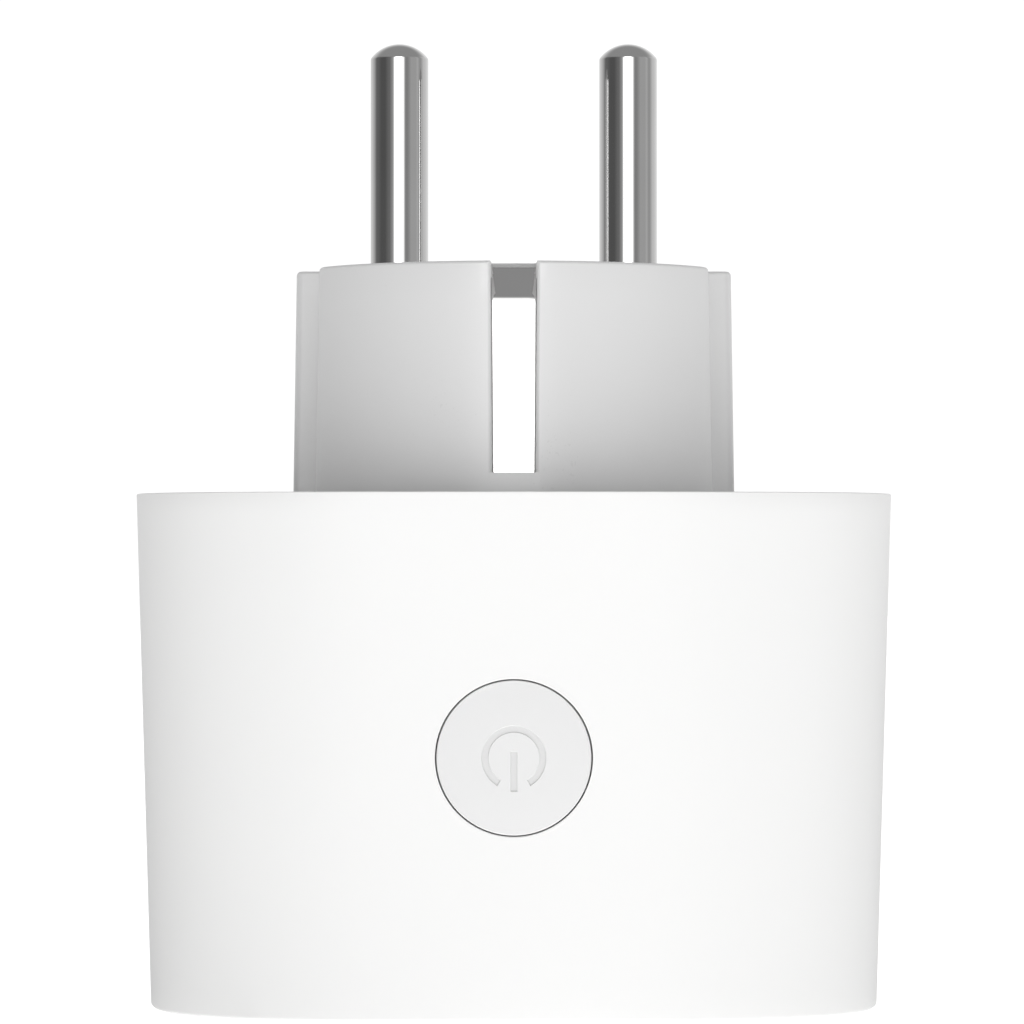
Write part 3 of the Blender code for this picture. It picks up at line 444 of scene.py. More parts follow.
def board(name):
    # solder mask over a grid of tracks and pads
    material, tree, shader = startMaterial(name)
    place = objectPlace(tree)
    cells = wire(tree, "ShaderNodeTexVoronoi", {"Vector": place, "Scale": 420.0, "Randomness": 0.35},
                 distance="CHEBYCHEV")
    track = ranged(tree, cells.outputs["Distance"], 0.36, 0.4)
    pads = wire(tree, "ShaderNodeTexVoronoi", {"Vector": place, "Scale": 260.0, "Randomness": 0.6})
    pad = ranged(tree, pads.outputs["Distance"], 0.2, 0.17)
    mask = tinted(tree, track, (0.02, 0.16, 0.07), (0.035, 0.24, 0.11))
    rough = maths(tree, "ADD", 0.28, maths(tree, "MULTIPLY", track, 0.1))
    finishShader(tree, shader, pad, (0.7, 0.7, 0.68), mask, rough, track, 0.00003, 0.4)
    tree.links.new(pad, shader.inputs["Metallic"])
    return material


def wound(name):
    # a coil's turns under clear tape
    material, tree, shader = startMaterial(name)
    turns = wire(tree, "ShaderNodeTexWave", {"Vector": objectPlace(tree), "Scale": 900.0, "Distortion": 0.4},
                 bands_direction="Z").outputs["Fac"]
    rough = maths(tree, "ADD", 0.25, maths(tree, "MULTIPLY", turns, 0.15))
    finishShader(tree, shader, turns, (0.78, 0.56, 0.12), (0.42, 0.26, 0.04), rough, turns, 0.00005, 0.5)
    return material


mouldedGrain = grainGroup()
handlingMarks = scratchGroup()
draftedCasing = casingTree()
turningPieces = turningTree()

whiteShell = plastic("whiteShell", (0.93, 0.93, 0.925), (0.915, 0.915, 0.91), rough=(0.28, 0.36))
# the cover is the casing's white plastic with a darker tone: painted shade for the plug collar, which sits in the
# casing's shadow
shadedWhiteCover = plastic("shadedWhiteCover", (0.8, 0.8, 0.8), (0.775, 0.775, 0.775), rough=(0.26, 0.34), bump=0.08)
whiteButton = plastic("whiteButton", (0.835, 0.835, 0.835), (0.82, 0.82, 0.82), rough=(0.4, 0.48))
lightPipe = plastic("lightPipe", (0.755, 0.755, 0.755), (0.74, 0.74, 0.74), rough=(0.3, 0.38))
innerPlastic = plastic("innerPlastic", (0.78, 0.76, 0.7), (0.7, 0.68, 0.61), rough=(0.45, 0.58), bump=0.5)
nickelPlate = metal("nickelPlate", (0.8, 0.8, 0.8), (0.74, 0.735, 0.73), rough=(0.03, 0.07), bump=0.04)
springBronze = metal("springBronze", (0.83, 0.6, 0.33), (0.62, 0.4, 0.2), rough=(0.2, 0.34), bump=0.2)
bareCopper = metal("bareCopper", (0.8, 0.42, 0.25), (0.6, 0.28, 0.15), rough=(0.2, 0.35))
springSteel = metal("springSteel", (0.65, 0.65, 0.66), (0.5, 0.5, 0.52), rough=(0.18, 0.3))
zincPlate = metal("zincPlate", (0.72, 0.73, 0.75), (0.56, 0.57, 0.6), rough=(0.22, 0.36), bump=0.3)
tinnedSheet = metal("tinnedSheet", (0.75, 0.75, 0.76), (0.62, 0.62, 0.64), rough=(0.2, 0.34),
                    stretch=(60.0, 900.0, 900.0))
solderMask = board("solderMask")
windingTape = wound("windingTape")
relayCase = plastic("relayCase", (0.05, 0.12, 0.34), (0.04, 0.09, 0.26), rough=(0.3, 0.42), bump=0.5)
ferriteCore = plastic("ferriteCore", (0.11, 0.11, 0.12), (0.06, 0.06, 0.065), rough=(0.5, 0.7),
                     grain=2200.0, bump=0.9)
shrinkSleeve = plastic("shrinkSleeve", (0.06, 0.06, 0.09), (0.035, 0.035, 0.05), rough=(0.22, 0.34), coat=0.4)
filmBox = plastic("filmBox", (0.75, 0.62, 0.14), (0.62, 0.5, 0.1), rough=(0.32, 0.42), bump=0.4)
dippedBlue = plastic("dippedBlue", (0.07, 0.22, 0.48), (0.04, 0.15, 0.36), rough=(0.35, 0.5), grain=1400.0, bump=0.8)
lacquer = plastic("lacquer", (0.4, 0.47, 0.4), (0.28, 0.35, 0.29), rough=(0.4, 0.55), grain=1800.0, bump=0.6)
blackEpoxy = plastic("blackEpoxy", (0.045, 0.045, 0.05), (0.02, 0.02, 0.024), rough=(0.4, 0.55),
                    grain=2600.0, bump=0.7)
ledLens = plastic("ledLens", (0.9, 0.86, 0.5), (0.8, 0.72, 0.3), rough=(0.1, 0.2), coat=0.6)
print("materials made:", len(bpy.data.materials))


casing = dict(sides=288, squareness=3.4, draft=0.0012, wall=0.0018, footRound=0.0003, lipRound=0.0001,
              rim=0.0012, rimRound=0.00012, ledge=0.0396, rows=26, innerRows=12, outletHole=0.02075,
              buttonHole=0.0062, holeFlare=0.00006, holeTaper=0.004, holeWall=0.0016, holePocket=(0.009, 0.0034))
height = shellHigh.z
halfTop = Vector((shellHigh.x, shellHigh.y))
halfFoot = halfTop - Vector((casing["draft"], casing["draft"]))
buttonZ = (buttonLow.z + buttonHigh.z) / 2
draftTilt = math.atan(casing["draft"] / height)


def casingProfile():
    foot, lip, rim = casing["footRound"], casing["lipRound"], casing["rim"]
    soft, wall, ledge = casing["rimRound"], casing["wall"], casing["ledge"]
    made = [(foot - x, 0.0, foot + z) for x, z in arc((0.0, 0.0), foot, -90, 0, 8)]
    rise = height - lip - foot
    made += [(0.0, 0.0, foot + rise * i / casing["rows"]) for i in range(1, casing["rows"])]
    made += [(lip - x, 0.0, height - lip + z) for x, z in arc((0.0, 0.0), lip, 0, 90, 4)]
    made += [(rim - soft + x, 0.0, height - soft + z) for x, z in arc((0.0, 0.0), soft, 90, 0, 3)]
    made += [(rim, 0.0, ledge), (wall, 0.0, ledge)]
    steps = casing["innerRows"]
    made += [(wall, 0.0, wall + (ledge - wall) * i / steps) for i in range(steps - 1, 0, -1)]
    made += [(wall, 0.0, wall), (wall, 1.0, wall), (wall, 1.0, soft), (foot, 1.0, 0.0)]
    return made


def makeCasing():
    values = {
        "Sides": casing["sides"], "Height": height, "Half Width Foot": halfFoot.x, "Half Width Top": halfTop.x,
        "Half Depth Foot": halfFoot.y, "Half Depth Top": halfTop.y, "Squareness": casing["squareness"],
        "Hole Radius": casing["outletHole"], "Finish": whiteShell,
    }
    shell = outwards(runTree("casing", polyline("casing", casingProfile(), closed=True), draftedCasing, values))
    hole, flare, taper = casing["buttonHole"], casing["holeFlare"], casing["holeTaper"]
    deep, (pocket, back) = -casing["holeWall"], casing["holePocket"]
    surface = halfFoot.y + casing["draft"] * buttonZ / height
    profile = [(0.0, taper), (hole + taper + flare, taper), (hole + flare, 0.0), (hole, -flare), (hole, deep),
               (pocket, deep), (pocket, -back), (0.0, -back)]
    tool = turned("buttonHole", profile, 160)
    tilt = Matrix.Rotation(draftTilt, 4, "X")
    tool.data.transform(Matrix.Translation((0.0, -surface, buttonZ)) @ tilt @ faceMinusY)
    carve(shell, [tool])
    smooth(shell, 40)
    dress(shell, whiteShell, "housing", ["body_shell"])


makeCasing()
print("casing made")


cover = dict(plateGap=0.00014, plateSoft=0.00018, ledgeGap=0.0002, collarFoot=0.0183, collarTop=0.01802, embed=0.0004,
             topRound=0.0003, notchX=0.0148, notchY=(0.0022, 0.0083), cornerReach=0.0005, arcSteps=28,
             slotHalf=(0.00175, 0.00186), slotFloor=0.0016, slotBack=0.0156, slotFlare=0.00045,
             mouthHalf=0.0018, mouthReach=(0.0136, 0.0172), mouthZ=0.0566,
             passageHalf=0.00178, passageReach=(0.0159, 0.01735), passageRise=0.003,
             cavity=(0.013, 0.0142), cavityCorner=0.0075, roof=0.002,
             pinHole=0.00247, pinFlare=0.0011, pinSoft=0.00012, pinHoleDepth=0.004,
             screwSeat=0.0024, seatSoft=0.00015, seatDepth=0.0011, screwBore=0.0014)
plateTop = shellHigh.z
collarTop = coverHigh.z


def squareOutline(z, inset, count=192):
    # the casing's own outline rule, for pieces that sit in it
    share = z / height
    half = halfFoot + (halfTop - halfFoot) * share - Vector((inset, inset))
    power = casing["squareness"]
    made = []
    for i in range(count):
        turn = 2 * math.pi * i / count
        c, s = math.cos(turn), math.sin(turn)
        reach = (abs(c / half.x) ** power + abs(s / half.y) ** power) ** (-1 / power)
        made.append(Vector((reach * c, reach * s)))
    return made


def collarOutline(radius, inset=0.0):
    # one quarter: guide rib, notch and round wall, then mirrored round; the inset draws every side in
    ribY, notchTopY = cover["notchY"][0] - inset, cover["notchY"][1] + inset
    floorX, radius = cover["notchX"] - inset, radius - inset
    onCircle = lambda y: math.sqrt(radius ** 2 - y ** 2)
    quarter = [((onCircle(y), y), False) for y in (0.0, ribY * 0.4)]
    quarter += [((onCircle(ribY), ribY), True), ((floorX, ribY), True), ((floorX, notchTopY), True)]
    quarter.append(((onCircle(notchTopY), notchTopY), True))
    startDeg = math.degrees(math.asin(notchTopY / radius))
    wall = arc((0.0, 0.0), radius, startDeg, 90.0, cover["arcSteps"])
    quarter += [(spot, False) for spot in wall[2:]]
    mirrorX = [((-x, y), soft) for (x, y), soft in quarter[::-1]][1:]
    upper = quarter + mirrorX
    lower = [((x, -y), soft) for (x, y), soft in upper[::-1]][1:-1]
    return roundCorners(upper + lower, cover["cornerReach"])


def slotTool(side, name):
    # an earth slot with softly flared outer edges, a little wider at the top
    flare, back = cover["slotFlare"], cover["slotBack"]
    rings = []
    for z, half, radius in (
        (plateTop + cover["slotFloor"], cover["slotHalf"][0], cover["collarFoot"]),
        (collarTop + cutPast, cover["slotHalf"][1], cover["collarTop"]),
    ):
        edge = math.sqrt(radius ** 2 - half ** 2)
        right = [(half, back)]
        right += [(half + flare - x, edge - flare + y) for x, y in arc((0.0, 0.0), flare, 0, 90, 6)]
        right.append((half + flare, edge + 0.002))
        outline = right + [(-x, y) for x, y in right[::-1]]
        rings.append([(x, side * y, z) for x, y in outline])
    return loft(name, rings)


def makeCover():
    topSoft = cover["topRound"]
    low = plateTop - cover["embed"]

    def ringAt(z, inset):
        share = (z - plateTop) / (collarTop - plateTop)
        radius = cover["collarFoot"] + (cover["collarTop"] - cover["collarFoot"]) * share
        return [(p.x, p.y, z) for p in collarOutline(radius, inset)]

    rings = [ringAt(low + (collarTop - topSoft - low) * i / 7, 0.0) for i in range(8)]
    rings += [ringAt(collarTop - topSoft + z, topSoft - x) for x, z in arc((0.0, 0.0), topSoft, 0, 90, 5)[1:]]
    collar = loft("plugCover", rings)
    inset = casing["rim"] + cover["plateGap"]
    soft = cover["plateSoft"]
    under = casing["ledge"] + cover["ledgeGap"]
    plateRings = [[(p.x, p.y, under) for p in squareOutline(under, inset)]]
    plateRings += [[(p.x, p.y, plateTop - soft + z) for p in squareOutline(plateTop, inset + soft - x)]
                   for x, z in arc((0.0, 0.0), soft, 0, 90, 4)]
    carve(collar, [loft("plate", plateRings)], "UNION")
    halfX, halfY = cover["cavity"]
    cavityRing = roundCorners([((sx * halfX, sy * halfY), True) for sx, sy in quarters], cover["cavityCorner"], 8)
    cavity = loft("cavity", [[(p.x, p.y, z) for p in cavityRing] for z in (under - cutPast, collarTop - cover["roof"])])
    hole, holeEnd = cover["pinHole"], collarTop - cover["pinHoleDepth"]
    holes = [(0.0, collarTop + cutPast), (hole + cover["pinFlare"], collarTop + cutPast),
             (hole, collarTop - cover["pinSoft"]), (hole, holeEnd), (0.0, holeEnd)]
    pinHoles = turned("pinHoles", holes, 72, 2, pinHigh.x + pinLow.x)
    screwX = sum(c.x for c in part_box("cover_screw_2")) / 2
    seat, seatSoft, bore = cover["screwSeat"], cover["seatSoft"], cover["screwBore"]
    seatZ = plateTop - cover["seatDepth"]
    sunk = [(0.0, plateTop + cutPast), (seat + seatSoft, plateTop + cutPast), (seat + seatSoft, plateTop),
            (seat, plateTop - seatSoft), (seat, seatZ), (bore, seatZ), (bore, under - cutPast), (0.0, under - cutPast)]
    recess = turned("screwRecess", sunk, 56, 2, 2 * screwX)
    tools = [cavity, slotTool(-1, "slotFront"), slotTool(1, "slotRear"), pinHoles, recess]
    for side in (-1, 1):
        tools.append(sideBox("slotMouth", side, cover["mouthHalf"], cover["mouthReach"], cover["mouthZ"],
                             collarTop + cutPast))
        tools.append(sideBox("stripPassage", side, cover["passageHalf"], cover["passageReach"], under - cutPast,
                             plateTop + cover["passageRise"]))
    carve(collar, tools)
    smooth(collar, 32)
    dress(collar, shadedWhiteCover, "housing", ["plug_cover"])


makeCover()
print("plug cover made")


pins = dict(radius=0.0024, crown=0.00295, blend=0.00035, flange=0.0031, flangeZ=(0.0449, 0.0467), flangeSoft=0.0002,
            tail=0.0012, tailSoft=0.0003)


def makePins():
    radius, crown, blend = pins["radius"], pins["crown"], pins["blend"]
    lean = math.degrees(math.asin((radius - blend) / (crown - blend)))
    crownZ = pinHigh.z - crown
    blendZ = crownZ + (crown - blend) * math.cos(math.radians(lean))
    profile = [(0.0, pinHigh.z)]
    profile += [(x, crownZ + z) for x, z in arc((0.0, 0.0), crown, 90, 90 - lean, 14)[1:]]
    profile += arc((radius - blend, blendZ), blend, 90 - lean, 0, 8)[1:]
    (low, high), flange, flangeSoft = pins["flangeZ"], pins["flange"], pins["flangeSoft"]
    tail, tailSoft = pins["tail"], pins["tailSoft"]
    profile += [(radius, high), (flange - flangeSoft, high), (flange, high - flangeSoft), (flange, low), (tail, low),
                (tail, pinLow.z + tailSoft), (tail - tailSoft, pinLow.z), (0.0, pinLow.z)]
    pair = turned("contactPins", profile, 96, 2, pinHigh.x + pinLow.x, nickelPlate)
    smooth(pair, 30)
    dress(pair, nickelPlate, "housing", ["live_pin", "neutral_pin"])


makePins()
print("pins made")


def foldedStrip(name, path, widthAt, thickness, soft):
    # a flat strip with rounded edges, folded along a path in Y and Z; its width may follow the height
    thin = thickness / 2
    rings = []
    for i, here in enumerate(path):
        half = widthAt(here[1]) / 2
        section = []
        for k, (sx, sn) in enumerate(quarters):
            section += arc((sx * (half - soft), sn * (thin - soft)), soft, 90 * k, 90 * k + 90, 4)
        before = path[max(i - 1, 0)]
        after = path[min(i + 1, len(path) - 1)]
        along = (Vector(after) - Vector(before)).normalized()
        across = Vector((along.y, -along.x))
        rings.append([(x, here[0] + across.x * n, here[1] + across.y * n) for x, n in section])
    return loft(name, rings)


def bentPath(corners, radii, steps=8):
    # a path with each inner corner turned into an arc-like bend
    made = [Vector(corners[0])]
    for i in range(1, len(corners) - 1):
        here = Vector(corners[i])
        a = here + (Vector(corners[i - 1]) - here).normalized() * radii[i - 1]
        b = here + (Vector(corners[i + 1]) - here).normalized() * radii[i - 1]
        for k in range(steps + 1):
            t = k / steps
            made.append(a * (1 - t) ** 2 + here * 2 * t * (1 - t) + b * t ** 2)
    made.append(Vector(corners[-1]))
    return [tuple(p) for p in made]


strip = dict(gap=0.00002, thickness=0.0008, soft=0.00012, y=0.0166, bendZ=0.0571, tip=(0.0147, 0.05955), bend=0.0005)


def stripWidth(z):
    # the slot's own width at this height, less a hair
    low, high = cover["slotHalf"]
    foot = plateTop + cover["slotFloor"]
    share = max(0.0, (z - foot) / (collarTop + cutPast - foot))
    return 2 * (low + (high - low) * share - strip["gap"])


def makeEarthStrips():
    for end, side in (("Front", -1), ("Rear", 1)):
        node = "plug_earth_strip_" + end.lower()
        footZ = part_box(node)[0].z
        corners = [strip["tip"], (strip["y"], strip["bendZ"]), (strip["y"], footZ)]
        path = bentPath([(side * y, z) for y, z in corners], [strip["bend"]])
        made = foldedStrip("earthStrip" + end, path, stripWidth, strip["thickness"], strip["soft"])
        smooth(made, 40)
        dress(made, nickelPlate, "housing", [node])


makeEarthStrips()

# each fold of the clip: how far in from its root, how far down from its top
clip = dict(width=0.0054, thickness=0.0005, soft=0.0001, root=0.0202, bends=(0.0003, 0.0009, 0.0006, 0.0006),
            folds=((0.0, 0.0), (0.0, 0.0012), (0.0034, 0.0061), (0.0036, 0.007), (0.0032, 0.0079), (0.0009, 0.0098)))


def makeEarthClips():
    for end, side in (("Front", -1), ("Rear", 1)):
        node = "socket_earth_clip_" + end.lower()
        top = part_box(node)[1].z
        corners = [(side * (clip["root"] - inwards), top - down) for inwards, down in clip["folds"]]
        path = bentPath(corners, clip["bends"], 5)
        made = foldedStrip("earthClip" + end, path, lambda z: clip["width"], clip["thickness"], clip["soft"])
        smooth(made, 40)
        dress(made, springBronze, "clip_" + end.lower(), [node])


makeEarthClips()
print("earth strips and clips made")


cup = dict(recess=0.0195, depth=0.0175, outer=0.0206, floor=0.002, mouth=0.0005, footSoft=0.00015, floorSoft=0.0006,
           floorRings=(0.0125, 0.0055), flange=0.0214, flangeZ=(0.0021, 0.0036), ribX=0.0162, ribY=(0.003, 0.0076),
           ribTop=0.0008, ribSoft=0.0003, ribCorner=0.0005, embed=0.0003, pinHole=0.00295, countersink=0.0004,
           windowHalf=0.0032, windowReach=(0.0185, 0.022), windowZ=(0.0042, 0.0152), post=0.0014, postTop=0.024,
           postSoft=0.00025, boss=0.0022, bossBore=0.0012, bossTop=0.023, boreFloor=0.0004)


def cupProfile(top):
    mouth, recess, outer, depth = cup["mouth"], cup["recess"], cup["outer"], cup["depth"]
    post, postTop, postSoft = cup["post"], cup["postTop"], cup["postSoft"]
    (flangeLow, flangeHigh), flange, footSoft = cup["flangeZ"], cup["flange"], cup["footSoft"]
    made = [(0.0, postTop), (post - postSoft, postTop), (post, postTop - postSoft), (post, top), (outer, top),
            (outer, flangeHigh), (flange, flangeHigh), (flange, flangeLow), (outer, flangeLow), (outer, footSoft),
            (outer - footSoft, 0.0)]
    made += [(recess + mouth - x, mouth - z) for x, z in arc((0.0, 0.0), mouth, 90, 0, 5)]
    soft = cup["floorSoft"]
    made += [(recess - soft + x, depth - soft + z) for x, z in arc((0.0, 0.0), soft, 0, 90, 5)]
    return made + [(ring, depth) for ring in (*cup["floorRings"], 0.0)]


def makeCup():
    depth, embed = cup["depth"], cup["embed"]
    top = depth + cup["floor"]
    made = turned("outletCup", cupProfile(top), 192)
    ribLow, ribHigh = cup["ribY"]
    root = (cup["recess"] + cup["outer"]) / 2
    rootX = lambda y: math.sqrt(root ** 2 - y ** 2)
    corners = [((cup["ribX"], ribLow), True), ((rootX(ribLow), ribLow), False),
               ((rootX(ribHigh), ribHigh), False), ((cup["ribX"], ribHigh), True)]
    outline = roundCorners(corners, cup["ribCorner"])
    stages = ((cup["ribTop"], cup["ribSoft"]), (cup["ribTop"] + cup["ribSoft"], 0.0), (depth + embed, 0.0))
    joined = []
    for sx in (-1, 1):
        for sy in (-1, 1):
            rings = [[(sx * p.x, sy * p.y, z) for p in offsetOutline(outline, inset)] for z, inset in stages]
            joined.append(loft(f"guideRib{sx}{sy}", rings))
    bossX = sum(c.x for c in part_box("carrier_screw_2")) / 2
    boss, bore, bossTop, boreZ = cup["boss"], cup["bossBore"], cup["bossTop"], top + cup["boreFloor"]
    bosses = [(0.0, boreZ), (bore, boreZ), (bore, bossTop), (boss, bossTop), (boss, top - embed), (0.0, top - embed)]
    joined.append(turned("carrierBosses", bosses, 32, 2, 2 * bossX))
    carve(made, joined, "UNION")
    hole, sink = cup["pinHole"], cup["countersink"]
    holes = [(0.0, top + cutPast), (hole, top + cutPast), (hole, depth + sink), (hole + sink, depth),
             (hole + sink, depth - cutPast), (0.0, depth - cutPast)]
    tools = [turned("pinHoles", holes, 72, 2, pinHigh.x + pinLow.x)]
    tools += [sideBox("clipWindow", side, cup["windowHalf"], cup["windowReach"], *cup["windowZ"]) for side in (-1, 1)]
    carve(made, tools)
    smooth(made, 32)
    dress(made, whiteShell, "housing", ["socket_cup"])


makeCup()
print("outlet cup made")


button = dict(radius=0.00608, edge=0.00012, face=0.00005, flange=0.0068, flangeDepth=(0.0017, 0.0024), pocket=0.0035,
              skin=0.0011, ring=(0.00203, 0.00251), openDeg=31.4, barHalf=0.00024, bar=(-0.00259, 0.00049),
              bevel=0.00005, grooveDepth=0.002, ahead=0.0005)
# the light pipe: a disc behind the cap, the mark that fills the cap's grooves and a stem to the lamp
pipe = dict(disc=0.0032, discDepth=0.0014, thickness=0.0008, stem=0.0012, stemLength=0.0014, stemDrop=0.0006,
            sunk=0.0001, embed=0.0002, hair=0.000004)
buttonFace = buttonLow.y + button["face"]


def symbolShapes(grow):
    # the power mark's open ring and bar, as closed outlines in the button's face
    inner, outer = button["ring"]
    lean = math.degrees(grow / outer)
    start, end = -90 + button["openDeg"] - lean, 270 - button["openDeg"] + lean
    ring = arc((0.0, 0.0), outer + grow, start, end, 72) + arc((0.0, 0.0), inner - grow, end, start, 72)
    half = button["barHalf"] + grow
    low, high = button["bar"][0] - grow, button["bar"][1] + grow
    return [ring, [(-half, low), (half, low), (half, high), (-half, high)]]


def facePrism(name, stages):
    # skins an outline in the button's face through (outline, depth) stages
    return loft(name, [[(x, depth, buttonZ + z) for x, z in outline] for outline, depth in stages])


def makeButton():
    radius, edge, pocket = button["radius"], button["edge"], button["pocket"]
    high, low = button["flangeDepth"]
    profile = [(0.0, 0.0)]
    profile += [(radius - edge + x, -edge + z) for x, z in arc((0.0, 0.0), edge, 90, 0, 5)]
    profile += [(radius, -high), (button["flange"], -high), (button["flange"], -low), (pocket, -low),
                (pocket, -button["skin"]), (0.0, -button["skin"])]
    cap = turned("buttonCap", profile, 144)
    cap.data.transform(Matrix.Translation((0.0, buttonFace, buttonZ)) @ faceMinusY)
    bevel = button["bevel"]
    tight, wide = symbolShapes(0.0), symbolShapes(bevel)
    grooves = [facePrism(f"groove{i}", [(tight[i], buttonFace + button["grooveDepth"]), (tight[i], buttonFace + bevel),
                                        (wide[i], buttonFace), (wide[i], buttonFace - button["ahead"])])
               for i in range(2)]
    carve(cap, grooves)
    smooth(cap, 32)
    dress(cap, whiteButton, "button", ["power_button"])


def rod(name, radius, length, place, segments):
    # a short rod that runs back from a place on its front face
    made = turned(name, [(0.0, 0.0), (radius, 0.0), (radius, -length), (0.0, -length)], segments)
    made.data.transform(Matrix.Translation(place) @ faceMinusY)
    return made


def makeLightPipe():
    front = buttonFace + pipe["discDepth"]
    disc = rod("lightPipe", pipe["disc"], pipe["thickness"], (0.0, front, buttonZ), 64)
    stemZ = sum(c.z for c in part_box("switch_plunger")) / 2 - pipe["stemDrop"]
    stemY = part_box("light_guide")[1].y - pipe["stemLength"]
    stem = rod("stem", pipe["stem"], pipe["stemLength"], (0.0, stemY, stemZ), 32)
    marks = [facePrism(f"mark{i}", [(shape, buttonFace + pipe["sunk"]), (shape, front + pipe["embed"])])
             for i, shape in enumerate(symbolShapes(-pipe["hair"]))]
    carve(disc, marks + [stem], "UNION")
    smooth(disc, 32)
    dress(disc, lightPipe, "button", ["light_guide"])


makeButton()
makeLightPipe()
print("button made")


screw = dict(head=0.0021, height=0.0007, edge=0.0003, shank=0.0011, length=0.0085, neck=0.001, point=0.0012,
             pitch=0.0009, root=0.78, valley=0.35, flank=0.6, crossHalf=0.00027, crossReach=0.0012, crossFloor=0.35)


def makeCoverScrews():
    low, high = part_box("cover_screw_2")
    headZ = high.z - screw["height"]
    head, tall, shank, edge = screw["head"], screw["height"], screw["shank"], screw["edge"]
    profile = [(0.0, headZ + tall)]
    profile += [(head - edge + x, headZ + tall - edge + z) for x, z in arc((0.0, 0.0), edge, 90, 0, 4)]
    profile += [(head, headZ), (shank, headZ)]
    pitch, root = screw["pitch"], shank * screw["root"]
    z = headZ - screw["neck"]
    while z - pitch > headZ - screw["length"] + screw["point"]:
        profile += [(root, z), (root, z - pitch * screw["valley"]), (shank, z - pitch * screw["flank"])]
        z -= pitch
    profile += [(root, z), (0.0, headZ - screw["length"])]
    pair = turned("coverScrews", profile, 56, 2, high.x + low.x, zincPlate)
    half, reach = screw["crossHalf"], screw["crossReach"]
    deep, clear = headZ + tall * screw["crossFloor"], headZ + 2 * cutPast
    tools = []
    for side in (-1, 1):
        x = side * (high.x + low.x) / 2
        tools.append(boxTool(f"crossA{side}", (x - reach, -half, deep), (x + reach, half, clear)))
        tools.append(boxTool(f"crossB{side}", (x - half, -reach, deep), (x + half, reach, clear)))
    carve(pair, tools)
    smooth(pair, 35)
    dress(pair, zincPlate, "housing", ["cover_screw_1", "cover_screw_2"])


makeCoverScrews()
print("screws made")


innerFinishes = {
    innerPlastic: ["pin_carrier", "pin_retainer", "contact_carrier", "safety_shutter", "button_guide"],
    springBronze: ["earth_ring", "earth_strap", "live_contact", "neutral_contact"],
    springSteel: ["shutter_spring"],
    bareCopper: ["antenna"],
    zincPlate: ["carrier_screw_1", "carrier_screw_2"],
    solderMask: ["main_board", "control_board", "radio_module"],
    relayCase: ["relay"],
    ferriteCore: ["transformer_core"],
    windingTape: ["transformer_coil"],
    shrinkSleeve: ["bulk_capacitor", "filter_capacitor"],
    filmBox: ["film_capacitor"],
    dippedBlue: ["varistor"],
    lacquer: ["fuse_resistor"],
    blackEpoxy: ["bridge_rectifier", "tact_switch", "switch_plunger"],
    tinnedSheet: ["radio_shield"],
    ledLens: ["status_led"],
}
for finish, names in innerFinishes.items():
    for name in names:
        nodes[name].data.materials.clear()
        nodes[name].data.materials.append(finish)
print("inner finishes set")


studio = dict(backWhite=1.06, skyDim=(0.1, 0.9), skyLevel=0.4, ringTop=(0.35, 0.8), glossSky=0.3, overhead=1.0,
              overheadEdge=(0.8, 0.92))
# soft light by side of the object: all round, extra from the camera's side, extra from the right
skyGlow = dict(round=0.41, front=0.25, right=0.06)
# what polished metal sees round it: from and to, in degrees from the camera's side, and how bright;
# the light fades evenly from each panel to the next
studioPanels = dict(rearLeft=(-180, -174, 0.84), sideLeft=(-146, -142, 0.69), cornerLeft=(-127, -124, 0.515),
                    flagLeft=(-103, -95, 0.14), blackLeft=(-76, -58, 0.093), spillLeft=(-42, -38, 0.16),
                    fillLeft=(-28.5, -26, 0.31), boxEdge=(-20.5, -20, 0.9), softBox=(-14, 10, 3.6),
                    boxFade=(16, 17, 1.2), gapRight=(24.5, 34, 0.257), cardRight=(49, 70, 0.396),
                    glintRight=(77, 80, 0.46), slitRight=(88, 96, 0.35), sideRight=(113, 118, 0.62),
                    rearRight=(158, 180, 0.85))


def sideGlow(tree, x, y, glow):
    # soft light as a function of the flat direction (x, y)
    front = maths(tree, "MULTIPLY", maths(tree, "MAXIMUM", maths(tree, "MULTIPLY", y, -1.0), 0.0), glow["front"])
    right = maths(tree, "MULTIPLY", x, glow["right"])
    return maths(tree, "ADD", maths(tree, "ADD", front, right), glow["round"])


